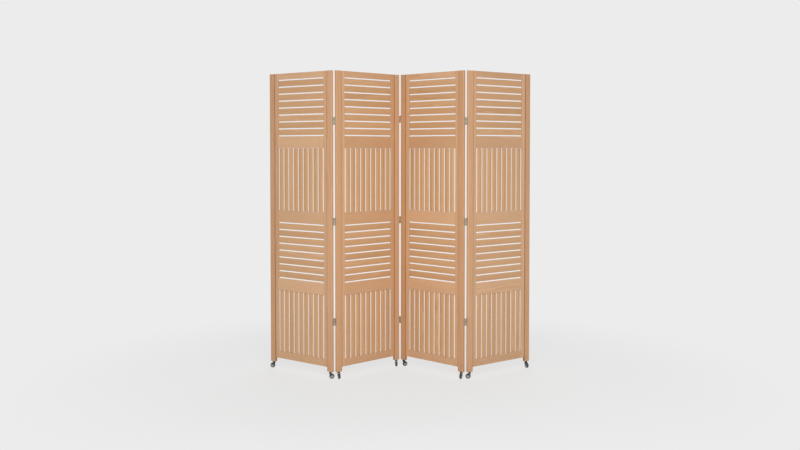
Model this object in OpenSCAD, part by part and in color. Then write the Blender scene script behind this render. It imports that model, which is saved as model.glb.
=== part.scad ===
// Folding room screen: hinged panels with pivoting louvre slats, on swivel casters.
// Millimetres, +Z up. The floor is z = 0; the origin is under the middle of the standing screen.
// A panel is drawn in its own frame (x along its width, y front to back), then stood in place.

/* [Screen] */
// Height from the floor to the top of the posts
screen_h = 1778; // [1600:1:2000]
// Width of one panel over its two posts
panel_w = 508; // [480:1:600]
// Angle of the two outer panels to the screen's plane as it stands, in degrees
outer_fold = 39; // [20:0.5:55]
// Angle of the two inner panels to the screen's plane as it stands, in degrees
inner_fold = 45; // [25:0.5:55]

/* [Posts] */
// Width of a post across the panel's face
post_w = 40; // [34:1:50]
// Thickness of a post, front to back
post_t = 16; // [14:0.5:22]
// Chamfer along a post's long edges
post_chamfer = 1.5; // [0.5:0.1:3]
// Length of post left bare below the bottom rail
leg_h = 26; // [26:1:80]

/* [Louvre frame] */
// Width of an upright stile
stile_w = 26; // [24:1:36]
// Thickness of the stiles and rails
frame_t = 10; // [9:0.5:13]
// Height of the top rail
top_rail_h = 36; // [28:1:60]
// Height of each of the three middle rails
mid_rail_h = 72; // [40:1:90]
// Height of the bottom rail
bottom_rail_h = 44; // [28:1:70]
// Height of each of the two openings that hold level slats
level_bank_h = 338; // [300:1:380]
// Chamfer along the long edges of stiles and rails
frame_chamfer = 0.8; // [0.3:0.1:2]
// Length of a rail's tenon
rail_tenon_l = 11; // [6:0.5:12]
// Thickness of a rail's tenon
rail_tenon_t = 5; // [4:0.5:6]
// Shoulder above and below a rail's tenon
rail_shoulder = 6; // [3:0.5:10]
// Play round a rail's tenon in its mortise
tenon_play = 0.1; // [0.05:0.05:0.3]
// Diameter of the dowels that hold the louvre frame between the posts
dowel_d = 6; // [5:0.5:7]
// Depth of a dowel in the post, and the same in the stile
dowel_depth = 10; // [8:1:13]

/* [Slats] */
// Number of level slats in an opening
level_slats = 8; // [6:1:8]
// Number of upright slats in an opening
upright_slats = 9; // [6:1:9]
// Gap between a stile and the upright slat beside it, over the gap between two upright slats
end_gap_share = 1.85; // [1:0.05:2.2]
// Width of a slat
slat_w = 35; // [26:0.5:36]
// Thickness of a slat at its middle
slat_t = 7; // [6:0.5:9]
// Thickness of a slat at its long edges
slat_edge_t = 1.6; // [1:0.1:3]
// Gap between a slat's end and the frame
slat_end_gap = 1; // [0.5:0.1:2]
// Diameter of the round pin at each end of a slat
slat_pin_d = 5; // [3:0.5:6]
// Depth of a slat's pin in the frame
slat_pin_l = 10; // [6:0.5:12]

/* [Hinges] */
// Height of a hinge leaf
leaf_h = 42; // [36:1:60]
// Width of a hinge leaf on the post's edge
leaf_w = 13; // [11:0.5:14]
// Thickness of a hinge leaf
leaf_t = 1.6; // [1.2:0.1:2]
// Gap between the two leaves with the panels in one plane
leaf_gap = 1.4; // [0.8:0.1:2.4]
// Distance of the hinge axis from the panel's face
axis_proud = 3; // [2.9:0.1:5]
// Outer diameter of a knuckle
knuckle_d = 6.4; // [5:0.1:6.6]
// Number of knuckles in a hinge
knuckles = 5; // [3:2:5]
// Gap between neighbouring knuckles
knuckle_gap = 0.2; // [0.1:0.05:0.5]
// Gap between a knuckle and the notch in the other leaf
notch_gap = 0.3; // [0.2:0.05:0.5]
// Diameter of a hinge pin
hinge_pin_d = 3; // [2:0.1:3.6]
// Diameter of a hinge pin's head
hinge_head_d = 4.6; // [4:0.1:6]
// Height of a hinge pin's head
hinge_head_h = 1.2; // [0.6:0.1:2]
// Height of the middle hinge of the two junctions that point forward
front_hinge_z = 910; // [850:1:950]
// Spacing of the hinges of those two junctions
front_hinge_step = 579; // [400:1:620]
// Height of the middle hinge of the junction that points back
back_hinge_z = 897; // [850:1:950]
// Spacing of the hinges of that junction
back_hinge_step = 613; // [400:1:640]

/* [Screws] */
// Number of screws in a hinge leaf
leaf_screws = 3; // [2:1:3]
// Spacing of the screws in a leaf
screw_step = 14; // [8:0.5:15]
// Diameter of a screw's shank
screw_d = 2.5; // [2:0.1:3]
// Diameter of a screw's countersunk head
screw_head_d = 5; // [4:0.1:5.5]
// Height of the countersunk head
screw_head_h = 1.1; // [0.8:0.1:1.2]
// Length of a screw
screw_l = 12; // [8:0.5:16]

/* [Casters] */
// Height of a caster from the floor to the post
caster_h = 40; // [40:0.5:60]
// Diameter of a wheel
wheel_d = 30; // [24:0.5:30]
// Width of a wheel's tyre
wheel_w = 10; // [8:0.5:11]
// Diameter of the hub inside the tyre
hub_d = 20; // [14:0.5:22]
// Radius of the tyre's rounded tread, across its width
tread_r = 8; // [7:0.5:14]
// Distance of the axle behind the swivel axis
caster_trail = 8; // [4:0.5:9]
// Diameter of the axle
axle_d = 4; // [3:0.5:5]
// Diameter of the axle's riveted heads
axle_head_d = 6.5; // [6:0.5:8]
// Height of the axle's riveted heads
axle_head_h = 0.8; // [0.5:0.1:1]
// Thickness of a fork's side
fork_t = 1.5; // [1:0.1:2]
// Gap between the wheel and each side of the fork
fork_gap = 0.5; // [0.3:0.1:1]
// Radius of the fork's round end about the axle
fork_end_r = 4.5; // [4:0.5:6]
// Gap between the wheel and the fork's bridge above it
bridge_gap = 1.5; // [1:0.1:2]
// Diameter of the fork's swivel crown
crown_d = 15; // [13:0.5:18]
// Height of the swivel crown
crown_h = 3; // [2:0.1:4]
// Gap between the crown and the socket's flange
swivel_gap = 0.3; // [0.1:0.05:0.5]
// Diameter of the fork's stem
stem_d = 6; // [5:0.5:7]
// Length of the stem above the flange
stem_l = 20; // [12:1:22]
// Outer diameter of the socket sleeve in the post
socket_d = 9; // [8.5:0.5:12]
// Depth of the socket sleeve in the post
socket_l = 23; // [22.5:0.5:26]
// Diameter of the socket's flange
flange_d = 16; // [14:0.5:19]
// Thickness of the socket's flange
flange_t = 1.5; // [1:0.1:2.5]

/* [Hidden] */
// Play between a shaft and its hole, on the radius
shaft_play = 0.05;
// Gap between a rail's end and the stile that it is glued to
shoulder_gap = 0.05;
// Play between a riveted head and the side that it is turned against
head_play = 0.05;
// Depth of a hole past the end of what sits in it
hole_spare = 1;
// Amount by which a cutting solid passes the face it opens
cut = 1;
// Facets of round hardware, and of the flat arcs of a slat
$fn = 48;
arc_fn = 144;

BACK = 1;
FRONT = -1;
NONE = 0;
LEFT = -1;
RIGHT = 1;

// Heights
post_h = screen_h - caster_h;
frame_z = caster_h + leg_h;
frame_h = screen_h - frame_z;
mid_rails = 3;
upright_bank_h = (frame_h - top_rail_h - mid_rails * mid_rail_h - bottom_rail_h
    - 2 * level_bank_h) / 2;
// Bottom of each opening, from the lowest: upright, level, upright, level slats
bank_h = [upright_bank_h, level_bank_h, upright_bank_h, level_bank_h];
bank_z = [for (b = [0:3]) frame_z + bottom_rail_h + b * mid_rail_h
    + (b > 0 ? bank_h[0] : 0) + (b > 1 ? bank_h[1] : 0) + (b > 2 ? bank_h[2] : 0)];
LOW_UPRIGHT = 0;
LOW_LEVEL = 1;
HIGH_UPRIGHT = 2;
HIGH_LEVEL = 3;
// Bottom and height of each rail, from the lowest
rail_h = [bottom_rail_h, mid_rail_h, mid_rail_h, mid_rail_h, top_rail_h];
rail_z = concat([frame_z], [for (b = [0:3]) bank_z[b] + bank_h[b]]);

// Widths in a panel
half_w = panel_w / 2;
opening_w = panel_w - 2 * (post_w + stile_w);
level_gap = (level_bank_h - level_slats * slat_w) / (level_slats + 1);
upright_gap = (opening_w - upright_slats * slat_w)
    / (upright_slats - 1 + 2 * end_gap_share);

// Slat section: two arcs through the middle and the edges
slat_rise = (slat_t - slat_edge_t) / 2;
slat_arc_r = (slat_w * slat_w / 4 + slat_rise * slat_rise) / (2 * slat_rise);

// Hinge axis in a panel's frame
axis_x = half_w + leaf_t + leaf_gap / 2;
axis_y = post_t / 2 + axis_proud;
knuckle_h = leaf_h / knuckles;

// Panels as they stand: the junction that points back is the first point set down
PANELS = [1, 2, 3, 4];
panel_angle = [-outer_fold, inner_fold, -inner_fold, outer_fold];
left_hinge = [NONE, BACK, FRONT, BACK];
right_hinge = [BACK, FRONT, BACK, NONE];
// The knuckle that a leaf starts with: the leaf that keeps the pin has the end knuckles
left_first = [0, 0, 1, 1];
right_first = [1, 0, 0, 0];
// Direction in which each caster trails as the screen stands, left then right of each panel,
// in degrees from +X
caster_heading = [[165, 0], [-70, -82], [24, -112], [180, -60]];

function turned(v, a) = [v.x * cos(a) - v.y * sin(a), v.x * sin(a) + v.y * cos(a)];
function hinge_at(side, face) = [side * axis_x, face * axis_y];
function middle_2() = -turned(hinge_at(RIGHT, FRONT), panel_angle[1]);
function middle_3() = -turned(hinge_at(LEFT, FRONT), panel_angle[2]);
function middle_1() = middle_2() + turned(hinge_at(LEFT, BACK), panel_angle[1])
    - turned(hinge_at(RIGHT, BACK), panel_angle[0]);
function middle_4() = middle_3() + turned(hinge_at(RIGHT, BACK), panel_angle[2])
    - turned(hinge_at(LEFT, BACK), panel_angle[3]);
loose_middle = [middle_1(), middle_2(), middle_3(), middle_4()];
// Depth of the standing screen, over its posts' corners
corner_y = [for (k = [0:3]) for (sx = [-1, 1]) for (sy = [-1, 1])
    (loose_middle[k] + turned([sx * half_w, sy * post_t / 2], panel_angle[k])).y];
origin_y = (min(corner_y) + max(corner_y)) / 2;
panel_middle = [for (m = loose_middle) m - [0, origin_y]];

function hinge_z(face) = face == BACK
    ? [for (i = [-1:1]) front_hinge_z + i * front_hinge_step]
    : [for (i = [-1:1]) back_hinge_z + i * back_hinge_step];
function junction(k) = panel_middle[k - 1]
    + turned(hinge_at(RIGHT, right_hinge[k - 1]), panel_angle[k - 1]);
function level_slat_z(bank, i) = bank_z[bank] + level_gap + slat_w / 2
    + (i - 1) * (slat_w + level_gap);
function upright_slat_x(i) = (i - (upright_slats + 1) / 2) * (slat_w + upright_gap);

wood = "burlywood";
slat_wood = "tan";
steel = "gray";
dark_steel = "dimgray";
rubber = [0.15, 0.15, 0.16];

// Stand a panel's parts in their place
module stand(k) {
    translate([panel_middle[k - 1].x, panel_middle[k - 1].y, 0])
        rotate([0, 0, panel_angle[k - 1]]) children();
}

// A bar along z from z = 0, with chamfered long edges
module bar(width, thick, long, chamfer) {
    x = width / 2;
    y = thick / 2;
    c = chamfer;
    linear_extrude(height = long)
        polygon([[-x + c, -y], [x - c, -y], [x, -y + c], [x, y - c],
            [x - c, y], [-x + c, y], [-x, y - c], [-x, -y + c]]);
}

// A round hole or shaft along x, from x = 0 towards +x
module along_x(d, long) {
    rotate([0, 90, 0]) cylinder(d = d, h = long);
}

// Put children at each hinge leaf of a panel, in the leaf's frame:
// hinge axis at the origin, the panel towards -x, the pin's face of the panel at -axis_proud
module at_leaves(k) {
    for (side = [LEFT, RIGHT]) {
        face = side == LEFT ? left_hinge[k - 1] : right_hinge[k - 1];
        $first = side == LEFT ? left_first[k - 1] : right_first[k - 1];
        if (face != NONE)
            for (z = hinge_z(face))
                translate([side * axis_x, face * axis_y, z])
                    mirror([side == LEFT ? 1 : 0, 0, 0])
                        mirror([0, face == FRONT ? 1 : 0, 0]) children();
    }
}

// Put children at each screw of a leaf, pointing along -x into the post's edge
module at_screws() {
    for (i = [0:leaf_screws - 1])
        translate([half_w - axis_x, -axis_proud - leaf_w / 2,
            (i - (leaf_screws - 1) / 2) * screw_step]) children();
}

// Put children at the heights where dowels join a stile to its post: the middle of each rail
module at_dowels() {
    for (side = [LEFT, RIGHT])
        for (r = [0:len(rail_h) - 1])
            translate([side * (half_w - post_w), 0, rail_z[r] + rail_h[r] / 2]) children();
}

module dowel(play) {
    reach = dowel_depth + play;
    translate([-reach, 0, 0]) along_x(dowel_d + 2 * play, 2 * reach);
}

module posts(k) {
    color(wood) stand(k) difference() {
        for (side = [LEFT, RIGHT])
            translate([side * (half_w - post_w / 2), 0, caster_h])
                bar(post_w, post_t, post_h, post_chamfer);
        at_dowels() dowel(shaft_play);
        at_leaves(k) at_screws()
            mirror([1, 0, 0]) translate([-cut, 0, 0])
                along_x(screw_d + 2 * shaft_play, screw_l + hole_spare + cut);
        for (side = [LEFT, RIGHT])
            translate([side * (half_w - post_w / 2), 0, caster_h - cut])
                cylinder(d = socket_d + 2 * shaft_play, h = socket_l + hole_spare + cut);
    }
}

// The pin holes of the level slats in one stile, opening towards the slats
module level_pin_holes(side) {
    for (bank = [LOW_LEVEL, HIGH_LEVEL])
        for (i = [1:level_slats])
            translate([side * (opening_w / 2 - cut), 0, level_slat_z(bank, i)])
                mirror([side == LEFT ? 1 : 0, 0, 0])
                    along_x(slat_pin_d + 2 * shaft_play, slat_pin_l + hole_spare + cut);
}

// A bar through a rail from the end of one tenon to the end of the other, or its mortises
module rail_tenons(r, play) {
    translate([0, 0, rail_z[r] + rail_h[r] / 2])
        cube([opening_w + 2 * (rail_tenon_l + play), rail_tenon_t + 2 * play,
            rail_h[r] - 2 * (rail_shoulder - play)], center = true);
}

module stile(side) {
    difference() {
        translate([side * (opening_w + stile_w) / 2, 0, frame_z])
            bar(stile_w, frame_t, frame_h, frame_chamfer);
        level_pin_holes(side);
        for (r = [0:len(rail_h) - 1])
            rail_tenons(r, tenon_play);
        at_dowels() dowel(shaft_play);
    }
}

// The pin holes of the upright slats in a rail: in the top of the rail below their opening, and
// in the underside of the one above it, which is the rail that the level slats' opening stands on
module upright_pin_holes(r) {
    deep = slat_pin_l + hole_spare;
    for (i = [1:upright_slats]) {
        if (r == LOW_UPRIGHT || r == HIGH_UPRIGHT)
            translate([upright_slat_x(i), 0, rail_z[r] + rail_h[r] - deep])
                cylinder(d = slat_pin_d + 2 * shaft_play, h = deep + cut);
        if (r == LOW_LEVEL || r == HIGH_LEVEL)
            translate([upright_slat_x(i), 0, rail_z[r] - cut])
                cylinder(d = slat_pin_d + 2 * shaft_play, h = deep + cut);
    }
}

module rail(r) {
    body_l = opening_w - 2 * shoulder_gap;
    difference() {
        union() {
            translate([-body_l / 2, 0, rail_z[r] + rail_h[r] / 2])
                rotate([0, 90, 0])
                    bar(rail_h[r], frame_t, body_l, frame_chamfer);
            rail_tenons(r, 0);
        }
        upright_pin_holes(r);
    }
}

// Two stiles, five rails and the dowels that hold them between the posts
module louvre_frame(k) {
    color(wood) stand(k) {
        for (side = [LEFT, RIGHT])
            stile(side);
        for (r = [0:len(rail_h) - 1])
            rail(r);
        at_dowels() dowel(0);
    }
}

// A slat along z with its middle at the origin and its faces towards front and back
module slat_body(long) {
    lift = slat_arc_r - slat_t / 2;
    intersection() {
        translate([0, lift, -long / 2]) cylinder(r = slat_arc_r, h = long, $fn = arc_fn);
        translate([0, -lift, -long / 2]) cylinder(r = slat_arc_r, h = long, $fn = arc_fn);
        cube([slat_w, slat_t + 2 * cut, long + 2 * cut], center = true);
    }
}

module slat_with_pins(span) {
    body = span - 2 * slat_end_gap;
    union() {
        slat_body(body);
        cylinder(d = slat_pin_d, h = span + 2 * slat_pin_l, center = true);
    }
}

module level_slat(k, bank, i) {
    color(slat_wood) stand(k)
        translate([0, 0, level_slat_z(bank, i)])
            rotate([0, 90, 0]) slat_with_pins(opening_w);
}

module upright_slat(k, bank, i) {
    color(slat_wood) stand(k)
        translate([upright_slat_x(i), 0, bank_z[bank] + bank_h[bank] / 2])
            slat_with_pins(bank_h[bank]);
}

module level_bank(k, bank) {
    for (i = [1:level_slats])
        level_slat(k, bank, i);
}

module upright_bank(k, bank) {
    for (i = [1:upright_slats])
        upright_slat(k, bank, i);
}

// All the slats of a panel, apart from those of panel 2's upper half, which are their own parts
module slats(k) {
    level_bank(k, LOW_LEVEL);
    upright_bank(k, LOW_UPRIGHT);
    if (k != 2) {
        level_bank(k, HIGH_LEVEL);
        upright_bank(k, HIGH_UPRIGHT);
    }
}

// Knuckles from the given one on, every second one, at full height or as cutting rings
module knuckle_stack(first, r, gap) {
    for (n = [first:2:knuckles - 1])
        translate([0, 0, -leaf_h / 2 + n * knuckle_h + gap / 2])
            cylinder(r = r, h = knuckle_h - gap);
}

module leaf(first) {
    other = 1 - first;
    reach = axis_proud + leaf_w;
    difference() {
        union() {
            translate([half_w - axis_x, -reach, -leaf_h / 2])
                cube([leaf_t, reach, leaf_h]);
            knuckle_stack(first, knuckle_d / 2, knuckle_gap);
        }
        knuckle_stack(other, knuckle_d / 2 + notch_gap, -knuckle_gap);
        cylinder(d = hinge_pin_d + 2 * shaft_play, h = leaf_h + 2 * cut, center = true);
        at_screws() {
            translate([-cut, 0, 0]) along_x(screw_d + 2 * shaft_play, leaf_t + 2 * cut);
            translate([leaf_t - screw_head_h, 0, 0]) rotate([0, 90, 0])
                cylinder(d1 = screw_d + 2 * shaft_play, d2 = screw_head_d + 2 * shaft_play,
                    h = screw_head_h);
        }
    }
}

module hinge_leaves(k) {
    color(steel) stand(k) at_leaves(k) leaf($first);
}

module screw() {
    translate([leaf_t, 0, 0]) rotate([0, -90, 0]) rotate_extrude()
        polygon([[0, 0], [screw_head_d / 2, 0], [screw_d / 2, screw_head_h],
            [screw_d / 2, screw_l - screw_d / 2], [0, screw_l]]);
}

module screws(k) {
    color(steel) stand(k) at_leaves(k) at_screws() screw();
}

// Headed pins of the hinges between panel k and the next one
module hinge_pins(k) {
    at = junction(k);
    color(steel)
        for (z = hinge_z(right_hinge[k - 1]))
            translate([at.x, at.y, z]) {
                cylinder(d = hinge_pin_d, h = leaf_h + 2 * hinge_head_h, center = true);
                for (end = [-1, 1])
                    translate([0, 0, end * (leaf_h + hinge_head_h) / 2])
                        cylinder(d = hinge_head_d, h = hinge_head_h, center = true);
            }
}

// Put children under one post, on the swivel axis at floor level
module under_post(k, side) {
    stand(k) translate([side * (half_w - post_w / 2), 0, 0]) children();
}

// Turn children from a caster's own frame, trailing along +x, to its stored heading
module headed(k, side) {
    turn = caster_heading[k - 1][side == LEFT ? 0 : 1] - panel_angle[k - 1];
    under_post(k, side) rotate([0, 0, turn]) children();
}

module caster_sockets(k) {
    color(dark_steel)
        for (side = [LEFT, RIGHT])
            under_post(k, side) difference() {
                union() {
                    translate([0, 0, caster_h - flange_t]) cylinder(d = flange_d, h = flange_t);
                    translate([0, 0, caster_h - flange_t])
                        cylinder(d = socket_d, h = flange_t + socket_l);
                }
                translate([0, 0, caster_h - flange_t - cut])
                    cylinder(d = stem_d + 2 * shaft_play,
                        h = cut + flange_t + stem_l + hole_spare);
            }
}

// One side of a fork in the x-z plane: from the bridge down to the round end at the axle
module fork_side(top) {
    rotate([90, 0, 0]) linear_extrude(height = fork_t, center = true) {
        polygon([[-crown_d / 2 + fork_t / 2, top], [crown_d / 2 - fork_t / 2, top],
            [caster_trail + fork_end_r, wheel_d / 2], [caster_trail - fork_end_r, wheel_d / 2]]);
        translate([caster_trail, wheel_d / 2]) circle(r = fork_end_r);
    }
}

module caster_fork(k, side) {
    crown_z = caster_h - flange_t - swivel_gap - crown_h;
    bridge_z = wheel_d + bridge_gap;
    side_y = wheel_w / 2 + fork_gap + fork_t / 2;
    bridge_l = crown_d - fork_t;
    color(dark_steel) headed(k, side) {
        difference() {
            union() {
                translate([0, 0, crown_z]) cylinder(d = crown_d, h = crown_h);
                translate([0, 0, crown_z])
                    cylinder(d = stem_d, h = caster_h + stem_l - crown_z);
                translate([-bridge_l / 2, -side_y - fork_t / 2, bridge_z])
                    cube([bridge_l, 2 * side_y + fork_t, crown_z - bridge_z]);
                for (y = [-side_y, side_y])
                    translate([0, y, 0]) fork_side(crown_z);
            }
            translate([caster_trail, 0, wheel_d / 2]) rotate([90, 0, 0])
                cylinder(d = axle_d + 2 * shaft_play, h = 2 * side_y + 2 * fork_t, center = true);
        }
        axle(side_y + fork_t / 2 + head_play);
    }
}

// Riveted axle across the fork, with its heads half_l from the middle
module axle(half_l) {
    translate([caster_trail, 0, wheel_d / 2]) rotate([90, 0, 0]) {
        cylinder(d = axle_d, h = 2 * (half_l + axle_head_h), center = true);
        for (end = [-1, 1])
            translate([0, 0, end * (half_l + axle_head_h / 2)])
                cylinder(d = axle_head_d, h = axle_head_h, center = true);
    }
}

// Tyre with a rounded tread, and the hub it is moulded on
module caster_wheel(k, side) {
    bore_r = axle_d / 2 + shaft_play;
    hub_r = hub_d / 2;
    tread_x = wheel_d / 2 - tread_r;
    color(rubber) headed(k, side)
        translate([caster_trail, 0, wheel_d / 2]) rotate([90, 0, 0]) {
            rotate_extrude() intersection() {
                translate([hub_r + shaft_play, -wheel_w / 2]) square([wheel_d / 2, wheel_w]);
                translate([tread_x, 0]) circle(r = tread_r);
            }
            rotate_extrude()
                translate([bore_r, -wheel_w / 2]) square([hub_r - bore_r, wheel_w]);
        }
}

for (k = PANELS) {
    posts(k);
    louvre_frame(k);
    slats(k);
    hinge_leaves(k);
    screws(k);
    caster_sockets(k);
    caster_fork(k, LEFT);
    caster_wheel(k, LEFT);
    caster_fork(k, RIGHT);
    caster_wheel(k, RIGHT);
}
for (k = [1:3])
    hinge_pins(k);
for (i = [1:level_slats])
    level_slat(2, HIGH_LEVEL, i);
for (i = [1:upright_slats])
    upright_slat(2, HIGH_UPRIGHT, i);
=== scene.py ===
"""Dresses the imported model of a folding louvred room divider.

Four wooden panels stand in a zigzag on small swivel casters. Every wooden member is modelled
along its own z axis, gets its grain there, and is then moved to its place, so that the grain
follows the member. All sizes are in metres.
"""
import logging
import math
import random
from dataclasses import dataclass, field
from enum import Enum
from typing import Callable, Iterable, Sequence

import bmesh
import bpy
from bmesh.types import BMEdge, BMFace, BMVert, BMesh
from bpy.types import (ID, Material, Node, NodeInputs, NodeOutputs, NodeSocket, NodeTree, Object,
                       World)
from mathutils import Matrix, Vector


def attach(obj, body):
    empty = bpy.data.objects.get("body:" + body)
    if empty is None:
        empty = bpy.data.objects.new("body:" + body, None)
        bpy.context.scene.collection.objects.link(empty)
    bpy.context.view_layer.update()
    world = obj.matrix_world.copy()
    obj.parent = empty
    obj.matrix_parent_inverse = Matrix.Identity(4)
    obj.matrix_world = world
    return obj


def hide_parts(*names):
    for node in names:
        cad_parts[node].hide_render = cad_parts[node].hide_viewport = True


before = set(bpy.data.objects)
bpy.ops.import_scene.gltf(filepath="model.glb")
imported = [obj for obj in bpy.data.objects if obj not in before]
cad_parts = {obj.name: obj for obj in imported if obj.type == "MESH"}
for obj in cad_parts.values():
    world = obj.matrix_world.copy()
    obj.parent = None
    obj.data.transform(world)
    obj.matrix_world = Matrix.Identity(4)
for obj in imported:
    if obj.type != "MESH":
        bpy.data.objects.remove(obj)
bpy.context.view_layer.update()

MM = 0.001
LOG = logging.getLogger("divider")


class Side(Enum):
    """The left or right edge of a panel, seen from the front, as a sign on x."""

    LEFT = -1
    RIGHT = 1

    @property
    def word(self) -> str:
        """The side's name as it stands in the names of pieces."""
        return self.name.lower()


class Face(Enum):
    """The face of a panel that a hinge pin stands on, as a sign on y."""

    FRONT = -1
    BACK = 1


class Bank(Enum):
    """The four openings of a panel from the floor up, as indices."""

    LOW_UPRIGHT = 0
    LOW_LEVEL = 1
    HIGH_UPRIGHT = 2
    HIGH_LEVEL = 3

    @property
    def level(self) -> bool:
        """Whether the opening's slats lie level."""
        return self in (Bank.LOW_LEVEL, Bank.HIGH_LEVEL)

    @property
    def upper(self) -> bool:
        """Whether the opening is in the panel's upper half."""
        return self in (Bank.HIGH_UPRIGHT, Bank.HIGH_LEVEL)


def turn_z(degrees: float) -> Matrix:
    """A turn about the z axis."""
    return Matrix.Rotation(math.radians(degrees), 4, "Z")


def shift(x: float, y: float, z: float) -> Matrix:
    """A move by x, y and z."""
    return Matrix.Translation((x, y, z))


LYING = Matrix.Rotation(math.radians(90), 4, "Y")


# ---------------------------------------------------------------- material node groups


@dataclass(frozen=True)
class Cells:
    """A noise: its cells per metre across and along z, its octaves and how strong they are.

    The span is where the noise starts and where it stops to show, when it is cut into patches.
    """

    across: float
    along: float
    octaves: float
    strength: float = 0.5
    span: tuple[float, float] = (0.0, 1.0)


class NodeSheet:
    """A node tree with short calls to add nodes and wire them.

    A Mix node takes its factor and two colours at mix_inputs and gives a colour at mix_output.
    """

    mix_inputs = (0, 6, 7)
    mix_output = 2

    def __init__(self, tree: NodeTree) -> None:
        """Starts on a tree.

        Args:
            tree: the node tree of a material, world or group.
        """
        self.tree = tree

    def add(self, kind: str, **settings: object) -> Node:
        """Adds a node.

        Args:
            kind: the node's type name.
            settings: properties to set on it.

        Returns:
            The new node.
        """
        node = self.tree.nodes.new(kind)
        for key, value in settings.items():
            setattr(node, key, value)
        return node

    def wire(self, source: object, target: object) -> None:
        """Feeds a socket from another socket or from a plain value.

        Args:
            source: an output socket, a number or a tuple.
            target: the input socket.
        """
        if isinstance(source, NodeSocket):
            self.tree.links.new(source, target)
        else:
            target.default_value = source

    def fill(self, node: Node, values: Iterable[object]) -> Node:
        """Feeds a node's inputs in order.

        Args:
            node: the node.
            values: sockets or plain values.

        Returns:
            The node.
        """
        for index, value in enumerate(values):
            self.wire(value, node.inputs[index])
        return node

    def math(self, operation: str, *values: object, clamp: bool = False) -> NodeSocket:
        """Adds a Math node.

        Args:
            operation: the operation's name.
            values: sockets or numbers for its inputs.
            clamp: whether the result is held between 0 and 1.

        Returns:
            The node's output.
        """
        node = self.add("ShaderNodeMath", operation=operation, use_clamp=clamp)
        return self.fill(node, values).outputs[0]

    def vector(self, operation: str, *values: object) -> Node:
        """Adds a Vector Math node.

        Args:
            operation: the operation's name.
            values: sockets or triples for its inputs.

        Returns:
            The node.
        """
        return self.fill(self.add("ShaderNodeVectorMath", operation=operation), values)

    def noise(self, where: object, cells: Cells) -> NodeSocket:
        """Adds a noise whose cells are stretched along z.

        Args:
            where: the coordinate socket.
            cells: the noise's figures.

        Returns:
            The noise value.
        """
        scaled = self.vector("MULTIPLY", where, (cells.across, cells.across, cells.along))
        node = self.add("ShaderNodeTexNoise")
        self.feed(node.inputs, Vector=scaled.outputs[0], Scale=1.0, Detail=cells.octaves,
                  Roughness=cells.strength)
        return node.outputs["Fac"]

    def ramp(self, value: object, low: float, high: float, start: float = 0.0,
             end: float = 1.0) -> NodeSocket:
        """Maps a value smoothly from one range to another.

        Args:
            value: the socket to map.
            low: where the result starts to change.
            high: where it stops changing.
            start: the result at low.
            end: the result at high.

        Returns:
            The mapped value.
        """
        node = self.add("ShaderNodeMapRange", interpolation_type="SMOOTHSTEP")
        return self.fill(node, (value, low, high, start, end)).outputs[0]

    def patches(self, where: object, cells: Cells, start: float = 0.0) -> NodeSocket:
        """Adds a noise that is cut into patches over its span.

        Args:
            where: the coordinate socket.
            cells: the noise's figures.
            start: the value between the patches.

        Returns:
            The mask, 1 on the patches.
        """
        return self.ramp(self.noise(where, cells), *cells.span, start, 1.0)

    def mix(self, factor: object, first: object, second: object, blend: str = "MIX") -> NodeSocket:
        """Adds a colour mix.

        Args:
            factor: how much of the second colour shows.
            first: a colour socket or an RGBA tuple.
            second: a colour socket or an RGBA tuple.
            blend: the blend type.

        Returns:
            The mixed colour.
        """
        node = self.add("ShaderNodeMix", data_type="RGBA", blend_type=blend)
        for index, source in zip(self.mix_inputs, (factor, first, second)):
            self.wire(source, node.inputs[index])
        return node.outputs[self.mix_output]

    def feed(self, inputs: NodeInputs, **values: object) -> None:
        """Feeds sockets by their names.

        Args:
            inputs: a node's inputs.
            values: sockets or plain values, with _ for a blank in a name.
        """
        for name, value in values.items():
            self.wire(value, inputs[name.replace("_", " ")])

    def attribute(self, name: str, output: str = "Vector") -> NodeSocket:
        """An attribute that the mesh carries."""
        return self.add("ShaderNodeAttribute", attribute_name=name).outputs[output]

    def here(self) -> NodeSocket:
        """The object's coordinates."""
        return self.add("ShaderNodeTexCoord").outputs["Object"]

    def split(self, source: NodeSocket) -> NodeOutputs:
        """The sockets of a vector's x, y and z."""
        return self.fill(self.add("ShaderNodeSeparateXYZ"), [source]).outputs


@dataclass(frozen=True)
class Socket:
    """One input or output of a node group: its name, its kind and its starting value."""

    name: str
    kind: str = "NodeSocketFloat"
    value: object = None


class Effect:
    """A shader node group that several finishes share."""

    title = "effect"
    takes: tuple[Socket, ...] = ()
    gives: tuple[Socket, ...] = ()

    def __init__(self) -> None:
        """Builds the group once."""
        self.tree = bpy.data.node_groups.new(self.title, "ShaderNodeTree")
        for side, sockets in (("INPUT", self.takes), ("OUTPUT", self.gives)):
            for item in sockets:
                made = self.tree.interface.new_socket(
                    name=item.name, in_out=side, socket_type=item.kind)
                if item.value is not None:
                    made.default_value = item.value
        self.sheet = NodeSheet(self.tree)
        self.given = self.sheet.add("NodeGroupInput").outputs
        self.out = self.sheet.add("NodeGroupOutput").inputs
        self.draw()

    def draw(self) -> None:
        """Wires the inside of the group."""
        raise NotImplementedError

    def place(self, sheet: NodeSheet, **values: object) -> NodeOutputs:
        """Places the group in a material.

        Args:
            sheet: the material's tree.
            values: sockets or values for its inputs, with _ for a blank in a name.

        Returns:
            The outputs of the placed group.
        """
        node = sheet.add("ShaderNodeGroup", node_tree=self.tree)
        sheet.feed(node.inputs, **values)
        return node.outputs


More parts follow.
